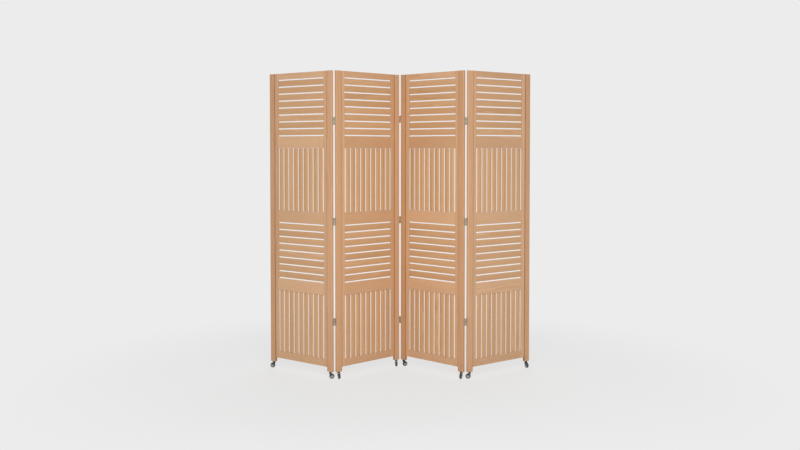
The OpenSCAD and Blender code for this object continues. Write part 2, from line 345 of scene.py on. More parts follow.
class TimberFigure(Effect):
    """Growth rings, fibres and pores of a board, from its own grain coordinates.

    Each wave bends the rings by its own multiple of the waviness. A ring darkens over ring_rise
    and clears over ring_fall, as shares of its width.
    """

    title = "timber_figure"
    takes = (Socket("Grain", "NodeSocketVector"), Socket("Ring gap", value=0.004),
             Socket("Waviness", value=0.004))
    gives = (Socket("Rings"), Socket("Fibres"), Socket("Pores"), Socket("Cloud"),
             Socket("Height"))
    waves = ((Cells(14, 1.6, 2.0), 6.0), (Cells(90, 5, 1.0), 0.4))
    ring_rise = (0.25, 0.9)
    ring_fall = (0.93, 1.0)
    fibre = Cells(800, 14, 4.0, 0.62, (0.28, 0.72))
    pore = Cells(1500, 60, 2.0, 0.5, (0.6, 0.72))
    cloud = Cells(11, 2.4, 3.0)
    ring_height = 0.35
    pore_depth = 0.6

    def draw(self) -> None:
        """Wires rings about an axis beside the board, with long fibres and short pores."""
        sheet, given = self.sheet, self.given
        grain = given["Grain"]
        lateral = sheet.vector("MULTIPLY", grain, (1, 1, 0))
        radius = sheet.vector("LENGTH", lateral.outputs[0]).outputs["Value"]
        for cells, times in self.waves:
            wave = sheet.math("SUBTRACT", sheet.noise(grain, cells), 0.5)
            reach = sheet.math("MULTIPLY", given["Waviness"], times)
            radius = sheet.math("MULTIPLY_ADD", wave, reach, radius)
        turn = sheet.math("FRACT", sheet.math("DIVIDE", radius, given["Ring gap"]))
        late = sheet.math("MULTIPLY", sheet.ramp(turn, *self.ring_rise),
                          sheet.ramp(turn, *self.ring_fall, 1.0, 0.0))
        fibres = sheet.patches(grain, self.fibre)
        pores = sheet.patches(grain, self.pore)
        height = sheet.math("SUBTRACT", sheet.math("MULTIPLY_ADD", late, self.ring_height, fibres),
                            sheet.math("MULTIPLY", pores, self.pore_depth))
        sheet.feed(self.out, Rings=late, Fibres=fibres, Pores=pores,
                   Cloud=sheet.noise(grain, self.cloud), Height=height)


class EdgeWear(Effect):
    """How rubbed a board is, by its distance from its long edges, broken up by noise."""

    title = "edge_wear"
    takes = (Socket("Local", "NodeSocketVector"), Socket("Section", "NodeSocketVector"),
             Socket("Reach", value=0.002))
    gives = (Socket("Mask"),)
    rubs = Cells(120, 22, 3.0, 0.5, (0.35, 0.7))

    def draw(self) -> None:
        """Wires the distance from the nearest long edge."""
        sheet, given = self.sheet, self.given
        size, spot = sheet.split(given["Section"]), sheet.split(given["Local"])
        squares = []
        for axis in (0, 1):
            inward = sheet.math("SUBTRACT", size[axis], sheet.math("ABSOLUTE", spot[axis]))
            gap = sheet.math("MAXIMUM", 0.0, inward)
            squares.append(sheet.math("MULTIPLY", gap, gap))
        away = sheet.math("SQRT", sheet.math("ADD", *squares))
        near = sheet.math("SUBTRACT", 1.0, sheet.math("DIVIDE", away, given["Reach"]), clamp=True)
        rubs = sheet.patches(given["Local"], self.rubs)
        sheet.feed(self.out, Mask=sheet.math("MULTIPLY", near, rubs))


class PooledStain(Effect):
    """Painted shade: a darker line along one long edge of a board, for the crevice where a post
    meets a stile.

    It has its full strength over (full - 1) of its reach, and noise thins it down to thin.
    """

    title = "pooled_stain"
    takes = (Socket("Local", "NodeSocketVector"), Socket("Section", "NodeSocketVector"),
             Socket("Side", value=0.0), Socket("Reach", value=0.003))
    gives = (Socket("Mask"),)
    full = 1.25
    thin = 0.7
    runs = Cells(90, 9, 3.0, 0.5, (0.3, 0.7))

    def draw(self) -> None:
        """Wires the distance from the edge that the side, -1, 0 or 1, picks."""
        sheet, given = self.sheet, self.given
        size, spot = sheet.split(given["Section"]), sheet.split(given["Local"])
        across = sheet.math("MULTIPLY", spot[0], given["Side"])
        away = sheet.math("DIVIDE", sheet.math("SUBTRACT", size[0], across), given["Reach"])
        near = sheet.math("SUBTRACT", self.full, away, clamp=True)
        shown = sheet.math("MULTIPLY", near, sheet.patches(given["Local"], self.runs, self.thin))
        picked = sheet.math("ABSOLUTE", given["Side"])
        sheet.feed(self.out, Mask=sheet.math("MULTIPLY", shown, picked))


class Grime(Effect):
    """Dust and scuffs that grow towards the floor, and fine specks at every height."""

    title = "floor_grime"
    takes = (Socket("Position", "NodeSocketVector"), Socket("Top", value=0.12))
    gives = (Socket("Mask"), Socket("Specks"))
    blotch = Cells(60, 35, 4.0, 0.5, (0.4, 0.75))
    speck = Cells(900, 900, 2.0, 0.5, (0.55, 0.75))

    def draw(self) -> None:
        """Wires a mask by height, broken up by noise."""
        sheet, given = self.sheet, self.given
        place = given["Position"]
        high = sheet.math("DIVIDE", sheet.split(place)[2], given["Top"])
        low = sheet.math("SUBTRACT", 1.0, high, clamp=True)
        sheet.feed(self.out, Mask=sheet.math("MULTIPLY", low, sheet.patches(place, self.blotch)),
                   Specks=sheet.patches(place, self.speck))


class MetalSkin(Effect):
    """Fine drawing lines, dull blotches and small pits on bare or plated steel."""

    title = "metal_skin"
    takes = (Socket("Position", "NodeSocketVector"), Socket("Blotch size", value=90.0))
    gives = (Socket("Lines"), Socket("Blotches"), Socket("Pits"), Socket("Height"))
    drawn = Cells(3500, 90, 3.0, 0.6)
    blotch_octaves = 4.0
    blotch_span = (0.38, 0.68)
    pit = Cells(2200, 2200, 2.0, 0.5, (0.64, 0.76))
    line_height = 0.6

    def draw(self) -> None:
        """Wires lines that run along z, blotches and pits."""
        sheet, given = self.sheet, self.given
        place = given["Position"]
        lines = sheet.noise(place, self.drawn)
        broad = sheet.add("ShaderNodeTexNoise")
        sheet.feed(broad.inputs, Vector=place, Scale=given["Blotch size"],
                   Detail=self.blotch_octaves)
        blotches = sheet.ramp(broad.outputs["Fac"], *self.blotch_span)
        pits = sheet.patches(place, self.pit)
        height = sheet.math("SUBTRACT", sheet.math("MULTIPLY", lines, self.line_height), pits)
        sheet.feed(self.out, Lines=lines, Blotches=blotches, Pits=pits, Height=height)


# ---------------------------------------------------------------- finishes

Colour = tuple[float, float, float, float]


def srgb(red: float, green: float, blue: float) -> Colour:
    """A colour from 0 to 255 values as they look on a screen, made linear.

    Args:
        red: the red value.
        green: the green value.
        blue: the blue value.

    Returns:
        The linear colour with full alpha.
    """
    parts = []
    for value in (red, green, blue):
        c = value / 255
        parts.append(c / 12.92 if c <= 0.04045 else ((c + 0.055) / 1.055) ** 2.4)
    return (parts[0], parts[1], parts[2], 1.0)


class Workshop:
    """Holds the shared effects, so that each is built once."""

    def __init__(self) -> None:
        """Builds the effects."""
        self.figure = TimberFigure()
        self.wear = EdgeWear()
        self.stain = PooledStain()
        self.grime = Grime()
        self.skin = MetalSkin()


def emptied(holder: Material | World) -> NodeSheet:
    """Clears the node tree of a material or a world.

    Args:
        holder: the material or world.

    Returns:
        The sheet of its empty tree.
    """
    holder.use_nodes = True
    holder.node_tree.nodes.clear()
    return NodeSheet(holder.node_tree)


def blank(name: str) -> tuple[Material, NodeSheet, Node]:
    """Starts a material with one Principled shader.

    Args:
        name: the material's name.

    Returns:
        The material, its sheet and its shader.
    """
    material = bpy.data.materials.new(name)
    sheet = emptied(material)
    shader = sheet.add("ShaderNodeBsdfPrincipled")
    sheet.fill(sheet.add("ShaderNodeOutputMaterial"), [shader.outputs[0]])
    return material, sheet, shader


def bump(sheet: NodeSheet, shader: Node, height: NodeSocket, strength: float,
         depth: float) -> None:
    """Gives a shader a fine relief.

    Args:
        sheet: the material's sheet.
        shader: the shader to feed.
        height: the height socket.
        strength: how strongly the relief shows.
        depth: the relief's depth in metres.
    """
    node = sheet.add("ShaderNodeBump")
    sheet.feed(node.inputs, Strength=strength, Distance=depth, Height=height)
    sheet.wire(node.outputs[0], shader.inputs["Normal"])


@dataclass(frozen=True)
class WoodFinish:
    """Light tan wood under a clear satin finish.

    Shares are parts of 1. The roughness is that of wood between its fibres' extremes; fibres and
    dirt add to it and worn edges are smoother. The tint powers turn a change of level into a
    change of colour as well, on red, green and blue.
    """

    name: str
    light: Colour
    dark: Colour
    worn: Colour
    # The colour of the painted shade in the crevice where a post meets a stile.
    pooled: Colour
    dirt: Colour = srgb(120, 100, 80)
    ring_gap: float = 0.0042
    waviness: float = 0.0035
    figure: float = 0.55
    ring_share: float = 0.55
    fibre_share: float = 0.5
    pore_share: float = 0.3
    member_spread: float = 0.10
    tint_powers: tuple[float, float, float] = (0.75, 1.0, 1.3)
    worn_reach: float = 0.0026
    worn_share: float = 0.45
    # Reach and share of the painted crevice shade.
    pooled_reach: float = 0.003
    pooled_share: float = 0.85
    end_shade: float = 0.4
    dirt_top: float = 0.11
    dirt_share: float = 0.45
    roughness: float = 0.46
    fibre_rough: float = 0.12
    worn_smooth: float = 0.08
    dirt_rough: float = 0.4
    specular: float = 0.4
    coat: float = 0.12
    coat_rough: float = 0.32
    relief: float = 0.22
    relief_depth: float = 0.0003

    def make(self, shop: Workshop) -> Material:
        """Builds the material.

        Args:
            shop: the shared effects.

        Returns:
            The material.
        """
        material, sheet, shader = blank(self.name)
        grain = sheet.attribute("grain")
        local = sheet.attribute("local")
        section = sheet.attribute("section")
        ends = sheet.attribute("end_grain", "Fac")
        side = sheet.attribute("pooled_side", "Fac")
        tone = sheet.split(section)[2]
        figure = shop.figure.place(sheet, Grain=grain, Ring_gap=self.ring_gap,
                                   Waviness=self.waviness)
        wear = shop.wear.place(sheet, Local=local, Section=section, Reach=self.worn_reach)
        # Painted shade: a darker line along the edge where a post meets a stile.
        stain = shop.stain.place(sheet, Local=local, Section=section, Side=side,
                                 Reach=self.pooled_reach)
        grime = shop.grime.place(sheet, Position=sheet.here(), Top=self.dirt_top)
        amount = sheet.math("MULTIPLY_ADD", figure["Rings"], self.ring_share,
                            sheet.math("MULTIPLY", figure["Fibres"], self.fibre_share))
        amount = sheet.math("MULTIPLY_ADD", figure["Pores"], self.pore_share, amount)
        amount = sheet.math("MULTIPLY", amount, self.figure, clamp=True)
        colour = sheet.mix(amount, self.light, self.dark)
        drift = sheet.math("ADD", sheet.math("SUBTRACT", figure["Cloud"], 0.5),
                           sheet.math("SUBTRACT", tone, 0.5))
        level = sheet.math("MULTIPLY_ADD", drift, self.member_spread * 2, 1.0)
        tint = sheet.fill(sheet.add("ShaderNodeCombineColor"),
                          [sheet.math("POWER", level, power) for power in self.tint_powers])
        colour = sheet.mix(1.0, colour, tint.outputs[0], "MULTIPLY")
        # Worn edges lighten; the crevice line darkens as painted shade.
        for mask, share, shown in ((wear["Mask"], self.worn_share, self.worn),
                                   (stain["Mask"], self.pooled_share, self.pooled)):
            colour = sheet.mix(sheet.math("MULTIPLY", mask, share), colour, shown)
        colour = sheet.mix(sheet.math("MULTIPLY", ends, self.end_shade), colour, self.dark,
                           "MULTIPLY")
        dirt = sheet.math("MULTIPLY", grime["Mask"], self.dirt_share)
        rough = sheet.math("MULTIPLY_ADD", figure["Fibres"], self.fibre_rough,
                           self.roughness - self.fibre_rough / 2)
        rough = sheet.math("MULTIPLY_ADD", wear["Mask"], -self.worn_smooth, rough)
        sheet.feed(shader.inputs, Base_Color=sheet.mix(dirt, colour, self.dirt),
                   Roughness=sheet.math("MULTIPLY_ADD", dirt, self.dirt_rough, rough),
                   Specular_IOR_Level=self.specular, Coat_Weight=self.coat,
                   Coat_Roughness=self.coat_rough)
        bump(sheet, shader, figure["Height"], self.relief, self.relief_depth)
        return material


@dataclass(frozen=True)
class MetalFinish:
    """Steel with a satin skin that has dulled in places."""

    name: str
    bright: Colour
    dull: Colour
    dust: Colour
    roughness: float = 0.34
    metallic: float = 0.95
    dusty: float = 0.0
    dust_top: float = 0.09
    dust_rough: float = 0.4
    blotch_size: float = 110.0
    blotch_share: float = 0.7
    blotch_rough: float = 0.16
    line_share: float = 0.25
    line_rough: float = 0.08
    relief: float = 0.25
    relief_depth: float = 0.00008

    def make(self, shop: Workshop) -> Material:
        """Builds the material.

        Args:
            shop: the shared effects.

        Returns:
            The material.
        """
        material, sheet, shader = blank(self.name)
        place = sheet.here()
        skin = shop.skin.place(sheet, Position=place, Blotch_size=self.blotch_size)
        grime = shop.grime.place(sheet, Position=place, Top=self.dust_top)
        tone = sheet.math("MULTIPLY_ADD", skin["Blotches"], self.blotch_share,
                          sheet.math("MULTIPLY", skin["Lines"], self.line_share), clamp=True)
        colour = sheet.mix(tone, self.bright, self.dull)
        film = sheet.math("MULTIPLY", sheet.math("MAXIMUM", grime["Mask"], grime["Specks"]),
                          self.dusty)
        rough = sheet.math("MULTIPLY_ADD", skin["Blotches"], self.blotch_rough, self.roughness)
        rough = sheet.math("MULTIPLY_ADD", skin["Lines"], self.line_rough, rough)
        sheet.feed(shader.inputs, Base_Color=sheet.mix(film, colour, self.dust),
                   Metallic=sheet.math("MULTIPLY_ADD", film, -self.metallic, self.metallic),
                   Roughness=sheet.math("MULTIPLY_ADD", film, self.dust_rough, rough))
        bump(sheet, shader, skin["Height"], self.relief, self.relief_depth)
        return material


@dataclass(frozen=True)
class MouldedFinish:
    """Moulded plastic or rubber with a fine texture and floor dust."""

    name: str
    base: Colour
    shade: Colour
    dust: Colour
    roughness: float
    cells: float
    dusty: float
    relief: float
    relief_depth: float = 0.0001
    cloud: Cells = Cells(70, 70, 3.0)
    fine_share: float = 0.5
    fine_rough: float = 0.14
    dust_top: float = 0.05
    dust_rough: float = 0.2
    speck_share: float = 0.5
    film_share: float = 0.8

    def make(self, shop: Workshop) -> Material:
        """Builds the material.

        Args:
            shop: the shared effects.

        Returns:
            The material.
        """
        material, sheet, shader = blank(self.name)
        place = sheet.here()
        fine = sheet.noise(place, Cells(self.cells, self.cells, 3.0, 0.6))
        cloud = sheet.math("MULTIPLY", sheet.noise(place, self.cloud), 1 - self.fine_share)
        grime = shop.grime.place(sheet, Position=place, Top=self.dust_top)
        tone = sheet.math("MULTIPLY_ADD", fine, self.fine_share, cloud)
        colour = sheet.mix(tone, self.base, self.shade)
        film = sheet.math("MULTIPLY_ADD", grime["Specks"], self.speck_share,
                          sheet.math("MULTIPLY", grime["Mask"], self.film_share))
        film = sheet.math("MULTIPLY", film, self.dusty, clamp=True)
        rough = sheet.math("MULTIPLY_ADD", fine, self.fine_rough,
                           self.roughness - self.fine_rough / 2)
        sheet.feed(shader.inputs, Base_Color=sheet.mix(film, colour, self.dust),
                   Roughness=sheet.math("MULTIPLY_ADD", film, self.dust_rough, rough))
        bump(sheet, shader, fine, self.relief, self.relief_depth)
        return material


Finish = WoodFinish | MetalFinish | MouldedFinish

# The crevice colour of each wood finish is painted shade where a post meets a stile.
POST_WOOD = WoodFinish("satin_post_wood", light=srgb(206, 161, 122), dark=srgb(174, 124, 84),
                       worn=srgb(218, 180, 142), pooled=srgb(146, 96, 56))
FRAME_WOOD = WoodFinish("satin_frame_wood", light=srgb(207, 165, 127), dark=srgb(177, 131, 91),
                        worn=srgb(218, 182, 146), pooled=srgb(146, 96, 56),
                        pooled_reach=0.0045, ring_gap=0.0036)
SLAT_WOOD = WoodFinish("satin_slat_wood", light=srgb(204, 161, 119), dark=srgb(171, 124, 83),
                       worn=srgb(218, 181, 144), pooled=srgb(146, 96, 56), ring_gap=0.0031,
                       member_spread=0.06)
HINGE_STEEL = MetalFinish("hinge_satin_steel", bright=srgb(190, 178, 160),
                          dull=srgb(146, 135, 120), dust=srgb(160, 147, 130), metallic=0.7,
                          roughness=0.4)
SCREW_STEEL = MetalFinish("screw_bright_steel", bright=srgb(206, 194, 176),
                          dull=srgb(156, 142, 124), dust=srgb(150, 138, 122), roughness=0.3,
                          metallic=0.85)
CASTER_STEEL = MetalFinish("caster_dark_steel", bright=srgb(80, 82, 81),
                           dull=srgb(46, 48, 47), dust=srgb(120, 118, 112), roughness=0.36,
                           dusty=0.25)
HUB_PLASTIC = MouldedFinish("hub_grey_plastic", base=srgb(162, 164, 165),
                            shade=srgb(139, 142, 144), dust=srgb(148, 143, 134),
                            roughness=0.5, cells=1800, dusty=0.35, relief=0.12)
TYRE_RUBBER = MouldedFinish("tyre_dark_rubber", base=srgb(40, 41, 43), shade=srgb(54, 56, 58),
                            dust=srgb(128, 122, 113), roughness=0.74, cells=2600,
                            dusty=0.3, relief=0.35)


# ---------------------------------------------------------------- meshes

# Points closer than SAME_POINT are merged; NEARLY is the play of a comparison; an edge or a
# normal with more than PARALLEL of its direction along an axis runs along it.
SAME_POINT = 1e-7
NEARLY = 1e-6
PARALLEL = 0.999


def edges_where(bm: BMesh, test: Callable[[BMEdge], bool]) -> list[BMEdge]:
    """The edges that pass a test."""
    return [edge for edge in bm.edges if test(edge)]


def runs_along(edge: BMEdge, axis: int) -> bool:
    """Whether an edge lies along one axis."""
    way = (edge.verts[1].co - edge.verts[0].co).normalized()
    return abs(way[axis]) > PARALLEL


def bends_over(edge: BMEdge, degrees: float) -> bool:
    """Whether an edge's two faces turn by more than an angle."""
    return edge.calc_face_angle(0.0) > math.radians(degrees)


def made_by(grown: dict[str, list], kind: type) -> list:
    """What an extrusion made of one kind, such as vertices."""
    return [item for item in grown["geom"] if isinstance(item, kind)]


def recalc(bm: BMesh) -> BMesh:
    """Turns all faces of a mesh outwards and gives the mesh back."""
    bmesh.ops.recalc_face_normals(bm, faces=bm.faces[:])
    return bm


def round_edges(bm: BMesh, edges: Sequence[BMEdge], radius: float, segments: int) -> None:
    """Rounds edges over.

    Args:
        bm: the mesh.
        edges: the edges to round.
        radius: the rounding's reach.
        segments: how many faces make the rounding.
    """
    bmesh.ops.bevel(bm, geom=list(edges), offset=radius, offset_type="OFFSET",
                    segments=segments, profile=0.5, affect="EDGES", material=-1,
                    clamp_overlap=True)


def block(size: tuple[float, float, float],
          centre: tuple[float, float, float] = (0, 0, 0)) -> BMesh:
    """A box to work on.

    Args:
        size: its three lengths.
        centre: its middle.

    Returns:
        A new mesh with the box.
    """
    bm = bmesh.new()
    bmesh.ops.create_cube(bm, size=1.0, matrix=shift(*centre) @ Matrix.Diagonal((*size, 1.0)))
    return bm


def turned(profile: Sequence[tuple[float, float]], steps: int) -> BMesh:
    """A turned solid about the z axis.

    Args:
        profile: (radius, height) pairs from one end of the axis to the other.
        steps: how many steps a full turn has.

    Returns:
        A new closed mesh.
    """
    bm = bmesh.new()
    line = [bm.verts.new((radius, 0.0, height)) for radius, height in profile]
    edges = [bm.edges.new(pair) for pair in zip(line, line[1:])]
    bmesh.ops.spin(bm, geom=line + edges, cent=(0, 0, 0), axis=(0, 0, 1), dvec=(0, 0, 0),
                   angle=2 * math.pi, steps=steps, use_merge=True, use_duplicate=False)
    bmesh.ops.remove_doubles(bm, verts=bm.verts[:], dist=SAME_POINT)
    return recalc(bm)


def arc(centre: tuple[float, float], radius: float, start: float, end: float,
        count: int) -> list[tuple[float, float]]:
    """Points on an arc of a profile.

    Args:
        centre: the arc's (radius, height) centre.
        radius: its radius.
        start: the first angle in degrees.
        end: the last angle in degrees.
        count: how many points.

    Returns:
        The points in order.
    """
    points = []
    for i in range(count):
        angle = math.radians(start + (end - start) * i / (count - 1))
        points.append((centre[0] + radius * math.cos(angle),
                       centre[1] + radius * math.sin(angle)))
    return points


def placed(part: BMesh, place: Matrix) -> BMesh:
    """Moves a part to its place.

    Args:
        part: the mesh to move.
        place: the move, which may mirror the part.

    Returns:
        The same mesh.
    """
    bmesh.ops.transform(part, matrix=place, verts=part.verts[:])
    if place.determinant() < 0:
        bmesh.ops.reverse_faces(part, faces=part.faces[:])
    return part


def joined(parts: Iterable[BMesh]) -> BMesh:
    """Gathers parts in one mesh; the parts are used up.

    Args:
        parts: the meshes in order.

    Returns:
        A new mesh with all of them.
    """
    total = bmesh.new()
    for part in parts:
        held = bpy.data.meshes.new("held")
        part.to_mesh(held)
        part.free()
        total.from_mesh(held)
        bpy.data.meshes.remove(held)
    return total


def ring(face: BMFace) -> list[BMVert]:
    """A face's corners in turn, from the one whose position sorts first."""
    corners = face.verts[:]
    first = min(range(len(corners)), key=lambda index: corners[index].co[:])
    return corners[first:] + corners[:first]


def in_order(bm: BMesh) -> BMesh:
    """Rebuilds a mesh with its points and faces sorted by position.

    Some mesh operations list what they make in another order on each run. Sorted, every run
    gives the same mesh, down to how its faces are split into triangles.

    Args:
        bm: the mesh; it is used up.

    Returns:
        A new mesh with the same points, faces and layers.
    """
    fresh = bmesh.new()
    layers = [(layer, fresh.verts.layers.float_vector.new(name))
              for name, layer in bm.verts.layers.float_vector.items()]
    layers += [(layer, fresh.verts.layers.float.new(name))
               for name, layer in bm.verts.layers.float.items()]
    marks = [(layer, fresh.faces.layers.float.new(name))
             for name, layer in bm.faces.layers.float.items()]
    twins = {}
    for vert in sorted(bm.verts, key=lambda vert: vert.co[:]):
        twins[vert] = fresh.verts.new(vert.co)
        for old, new in layers:
            twins[vert][new] = vert[old]
    for face in sorted(bm.faces, key=lambda face: [vert.co[:] for vert in ring(face)]):
        twin = fresh.faces.new([twins[vert] for vert in ring(face)])
        for old, new in marks:
            twin[new] = face[old]
    bm.free()
    return fresh


# A member is cut from its log at a distance from the heart between the two LOG_RINGS and up to
# LOG_HALF from the log's middle, in metres. A face that looks along the grain more than
# END_GRAIN is sawn end grain.
LOG_RINGS = (0.05, 0.16)
LOG_HALF = 4
END_GRAIN = 0.7


def mark_timber(bm: BMesh, half: tuple[float, float], seed: str, pooled_side: int = 0) -> None:
    """Writes a wooden member's grain, local coordinates, section, the edge that gets painted
    shade, and sawn ends.

    Args:
        bm: the member, along z about its own middle.
        half: half its width and half its thickness.
        seed: a word that fixes where in the log it was cut.
        pooled_side: the sign of the long edge that gets a painted crevice shade line, or 0.
    """
    pick = random.Random(seed)
    angle = pick.uniform(0, 2 * math.pi)
    away = pick.uniform(*LOG_RINGS)
    cut = Vector((away * math.cos(angle), away * math.sin(angle),
                  pick.uniform(-LOG_HALF, LOG_HALF)))
    section = Vector((half[0], half[1], pick.random()))
    grain, local, size = (bm.verts.layers.float_vector.new(name)
                          for name in ("grain", "local", "section"))
    for vert in bm.verts:
        vert[grain] = vert.co + cut
        vert[local] = vert.co
        vert[size] = section
    side = bm.verts.layers.float.new("pooled_side")
    for vert in bm.verts:
        vert[side] = pooled_side
    ends = bm.faces.layers.float.new("end_grain")
    bm.normal_update()
    for face in bm.faces:
        face[ends] = float(abs(face.normal.z) > END_GRAIN)


def add_object(name: str, data: ID) -> Object:
    """Adds an object to the scene.

    Args:
        name: its name.
        data: its mesh, lamp or camera.

    Returns:
        The object.
    """
    obj = bpy.data.objects.new(name, data)
    bpy.context.scene.collection.objects.link(obj)
    return obj


@dataclass
class Bench:
    """Turns finished meshes into dressed pieces that ride on the frame's bodies."""

    shop: Workshop = field(default_factory=Workshop)
    made: dict[str, Material] = field(default_factory=dict)
    crease: float = 46.0

    def material(self, finish: Finish) -> Material:
        """Finds the material of a finish, or builds it on first use.

        Args:
            finish: the finish.

        Returns:
            Its material.
        """
        if finish.name not in self.made:
            self.made[finish.name] = finish.make(self.shop)
        return self.made[finish.name]

    def piece(self, name: str, bm: BMesh, body: str, nodes: Iterable[str], slot: str,
              finish: Finish) -> None:
        """Finishes one piece.

        Args:
            name: the piece's name.
            bm: its mesh at its place; it is used up.
            body: the body that it rides on.
            nodes: the CAD nodes that it stands for.
            slot: the record's material slot; not used.
            finish: its finish.
        """
        mesh = bpy.data.meshes.new(name)
        bm = in_order(bm)
        for face in bm.faces:
            face.smooth = True
        count = len(bm.faces)
        bm.to_mesh(mesh)
        bm.free()
        mesh.materials.append(self.material(finish))
        mesh.set_sharp_from_angle(angle=math.radians(self.crease))
        obj = add_object(name, mesh)
        even = obj.modifiers.new("even_shading", "WEIGHTED_NORMAL")
        even.keep_sharp = True
        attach(obj, body)
        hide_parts(*nodes)
        LOG.info("piece %s on %s: %d faces", name, body, count)


# ---------------------------------------------------------------- the standing screen


@dataclass
class Stance:
    """Where the four panels stand."""

    half_width: float = 254 * MM
    post_thick: float = 16 * MM
    axis_out: float = 2.3 * MM
    axis_proud: float = 3 * MM
    angles: tuple[float, ...] = (-39.0, 45.0, -45.0, 39.0)

    def hinge(self, side: Side, face: Face) -> Vector:
        """A hinge axis in a panel's own frame.

        Args:
            side: the panel's edge.
            face: the face that the pin stands on.

        Returns:
            The point, at z 0.
        """
        return Vector((side.value * (self.half_width + self.axis_out),
                       face.value * (self.post_thick / 2 + self.axis_proud), 0.0))

    def swung(self, k: int, point: Vector) -> Vector:
        """A point of panel k's frame turned as that panel stands."""
        return turn_z(self.angles[k - 1]) @ point

    def middles(self) -> list[Vector]:
        """The middles of the four panels.

        Returns:
            One point for each panel, at z 0, with the screen's depth centred on y 0.
        """
        second = -self.swung(2, self.hinge(Side.RIGHT, Face.FRONT))
        third = -self.swung(3, self.hinge(Side.LEFT, Face.FRONT))
        first = (second + self.swung(2, self.hinge(Side.LEFT, Face.BACK))
                 - self.swung(1, self.hinge(Side.RIGHT, Face.BACK)))
        fourth = (third + self.swung(3, self.hinge(Side.RIGHT, Face.BACK))
                  - self.swung(4, self.hinge(Side.LEFT, Face.BACK)))
        loose = [first, second, third, fourth]
        depths = []
        for k, middle in enumerate(loose, 1):
            for across in (-self.half_width, self.half_width):
                for out in (-self.post_thick / 2, self.post_thick / 2):
                    depths.append((middle + self.swung(k, Vector((across, out, 0)))).y)
        depth = Vector((0, (min(depths) + max(depths)) / 2, 0))
        return [middle - depth for middle in loose]

    def stand(self, k: int) -> Matrix:
        """The move that takes panel k from its own frame to its place."""
        return Matrix.Translation(self.middles()[k - 1]) @ turn_z(self.angles[k - 1])


@dataclass
class Slat:
    """One lens-shaped slat with a round pin at each end, along z about its middle.

    The stations are the shares of its half width, from an edge to the middle, where its section
    has corners.
    """

    span: float
    width: float = 35 * MM
    thick: float = 7 * MM
    edge: float = 1.6 * MM
    rim_round: float = 0.6 * MM
    stations: tuple[float, ...] = (1.0, 0.968, 0.68, 0.35, 0.0)
    end_gap: float = 1 * MM
    pin_d: float = 5 * MM
    pin_l: float = 10 * MM
    pin_sides: int = 10

    def build(self, seed: str) -> BMesh:
        """Builds the slat.

        Args:
            seed: a word that fixes its grain.

        Returns:
            The mesh.
        """
        bm = bmesh.new()
        half, tip = self.width / 2, self.edge / 2
        rise = (self.thick - self.edge) / 2
        radius = (half * half + rise * rise) / (2 * rise)
        body = self.span - 2 * self.end_gap
        last = len(self.stations) - 1
        made = bmesh.ops.create_circle(bm, cap_ends=True, segments=4 * last, radius=1.0,
                                       matrix=shift(0, 0, -body / 2))
        for vert in made["verts"]:
            around = math.atan2(vert.co.y, vert.co.x)
            step = round(abs(around) / (math.pi / 2 / last))
            share = self.stations[step] if step <= last else -self.stations[2 * last - step]
            vert.co.x = share * half
            height = math.sqrt(radius ** 2 - vert.co.x ** 2) - (radius - self.thick / 2)
            on_edge = step in (0, 2 * last)
            vert.co.y = 0.0 if on_edge else math.copysign(max(height, tip), around)
        grown = bmesh.ops.extrude_face_region(bm, geom=bm.faces[:])
        bmesh.ops.translate(bm, verts=made_by(grown, BMVert), vec=(0, 0, body))
        rims = edges_where(bm, lambda e: not runs_along(e, 2))
        round_edges(bm, rims, self.rim_round, segments=1)
        long_pin = self.end_gap + self.pin_l
        for end in (-1, 1):
            bmesh.ops.create_cone(bm, cap_ends=True, cap_tris=False, segments=self.pin_sides,
                                  radius1=self.pin_d / 2, radius2=self.pin_d / 2, depth=long_pin,
                                  matrix=shift(0, 0, end * (body + long_pin) / 2))
        mark_timber(recalc(bm), (half, tip), seed)
        return bm


@dataclass
class Board:
    """One straight wooden member along z about its middle."""

    width: float
    thick: float
    long: float
    radius: float
    foot_radius: float = 0.0
    # The sign of the long edge that gets a painted crevice shade line, or 0.
    pooled_side: int = 0

    def build(self, seed: str) -> BMesh:
        """Builds the board with rounded edges.

        Args:
            seed: a word that fixes its grain.

        Returns:
            The mesh.
        """
        bm = block((self.width, self.thick, self.long))
        if self.foot_radius:
            feet = edges_where(bm, lambda e: runs_along(e, 1) and e.verts[0].co.z < 0)
            round_edges(bm, feet, self.foot_radius, segments=4)
            sharp = edges_where(bm, lambda e: bends_over(e, 50))
        else:
            sharp = edges_where(bm, lambda e: runs_along(e, 2))
        round_edges(bm, sharp, self.radius, segments=3)
        mark_timber(bm, (self.width / 2, self.thick / 2), seed, self.pooled_side)
        return bm


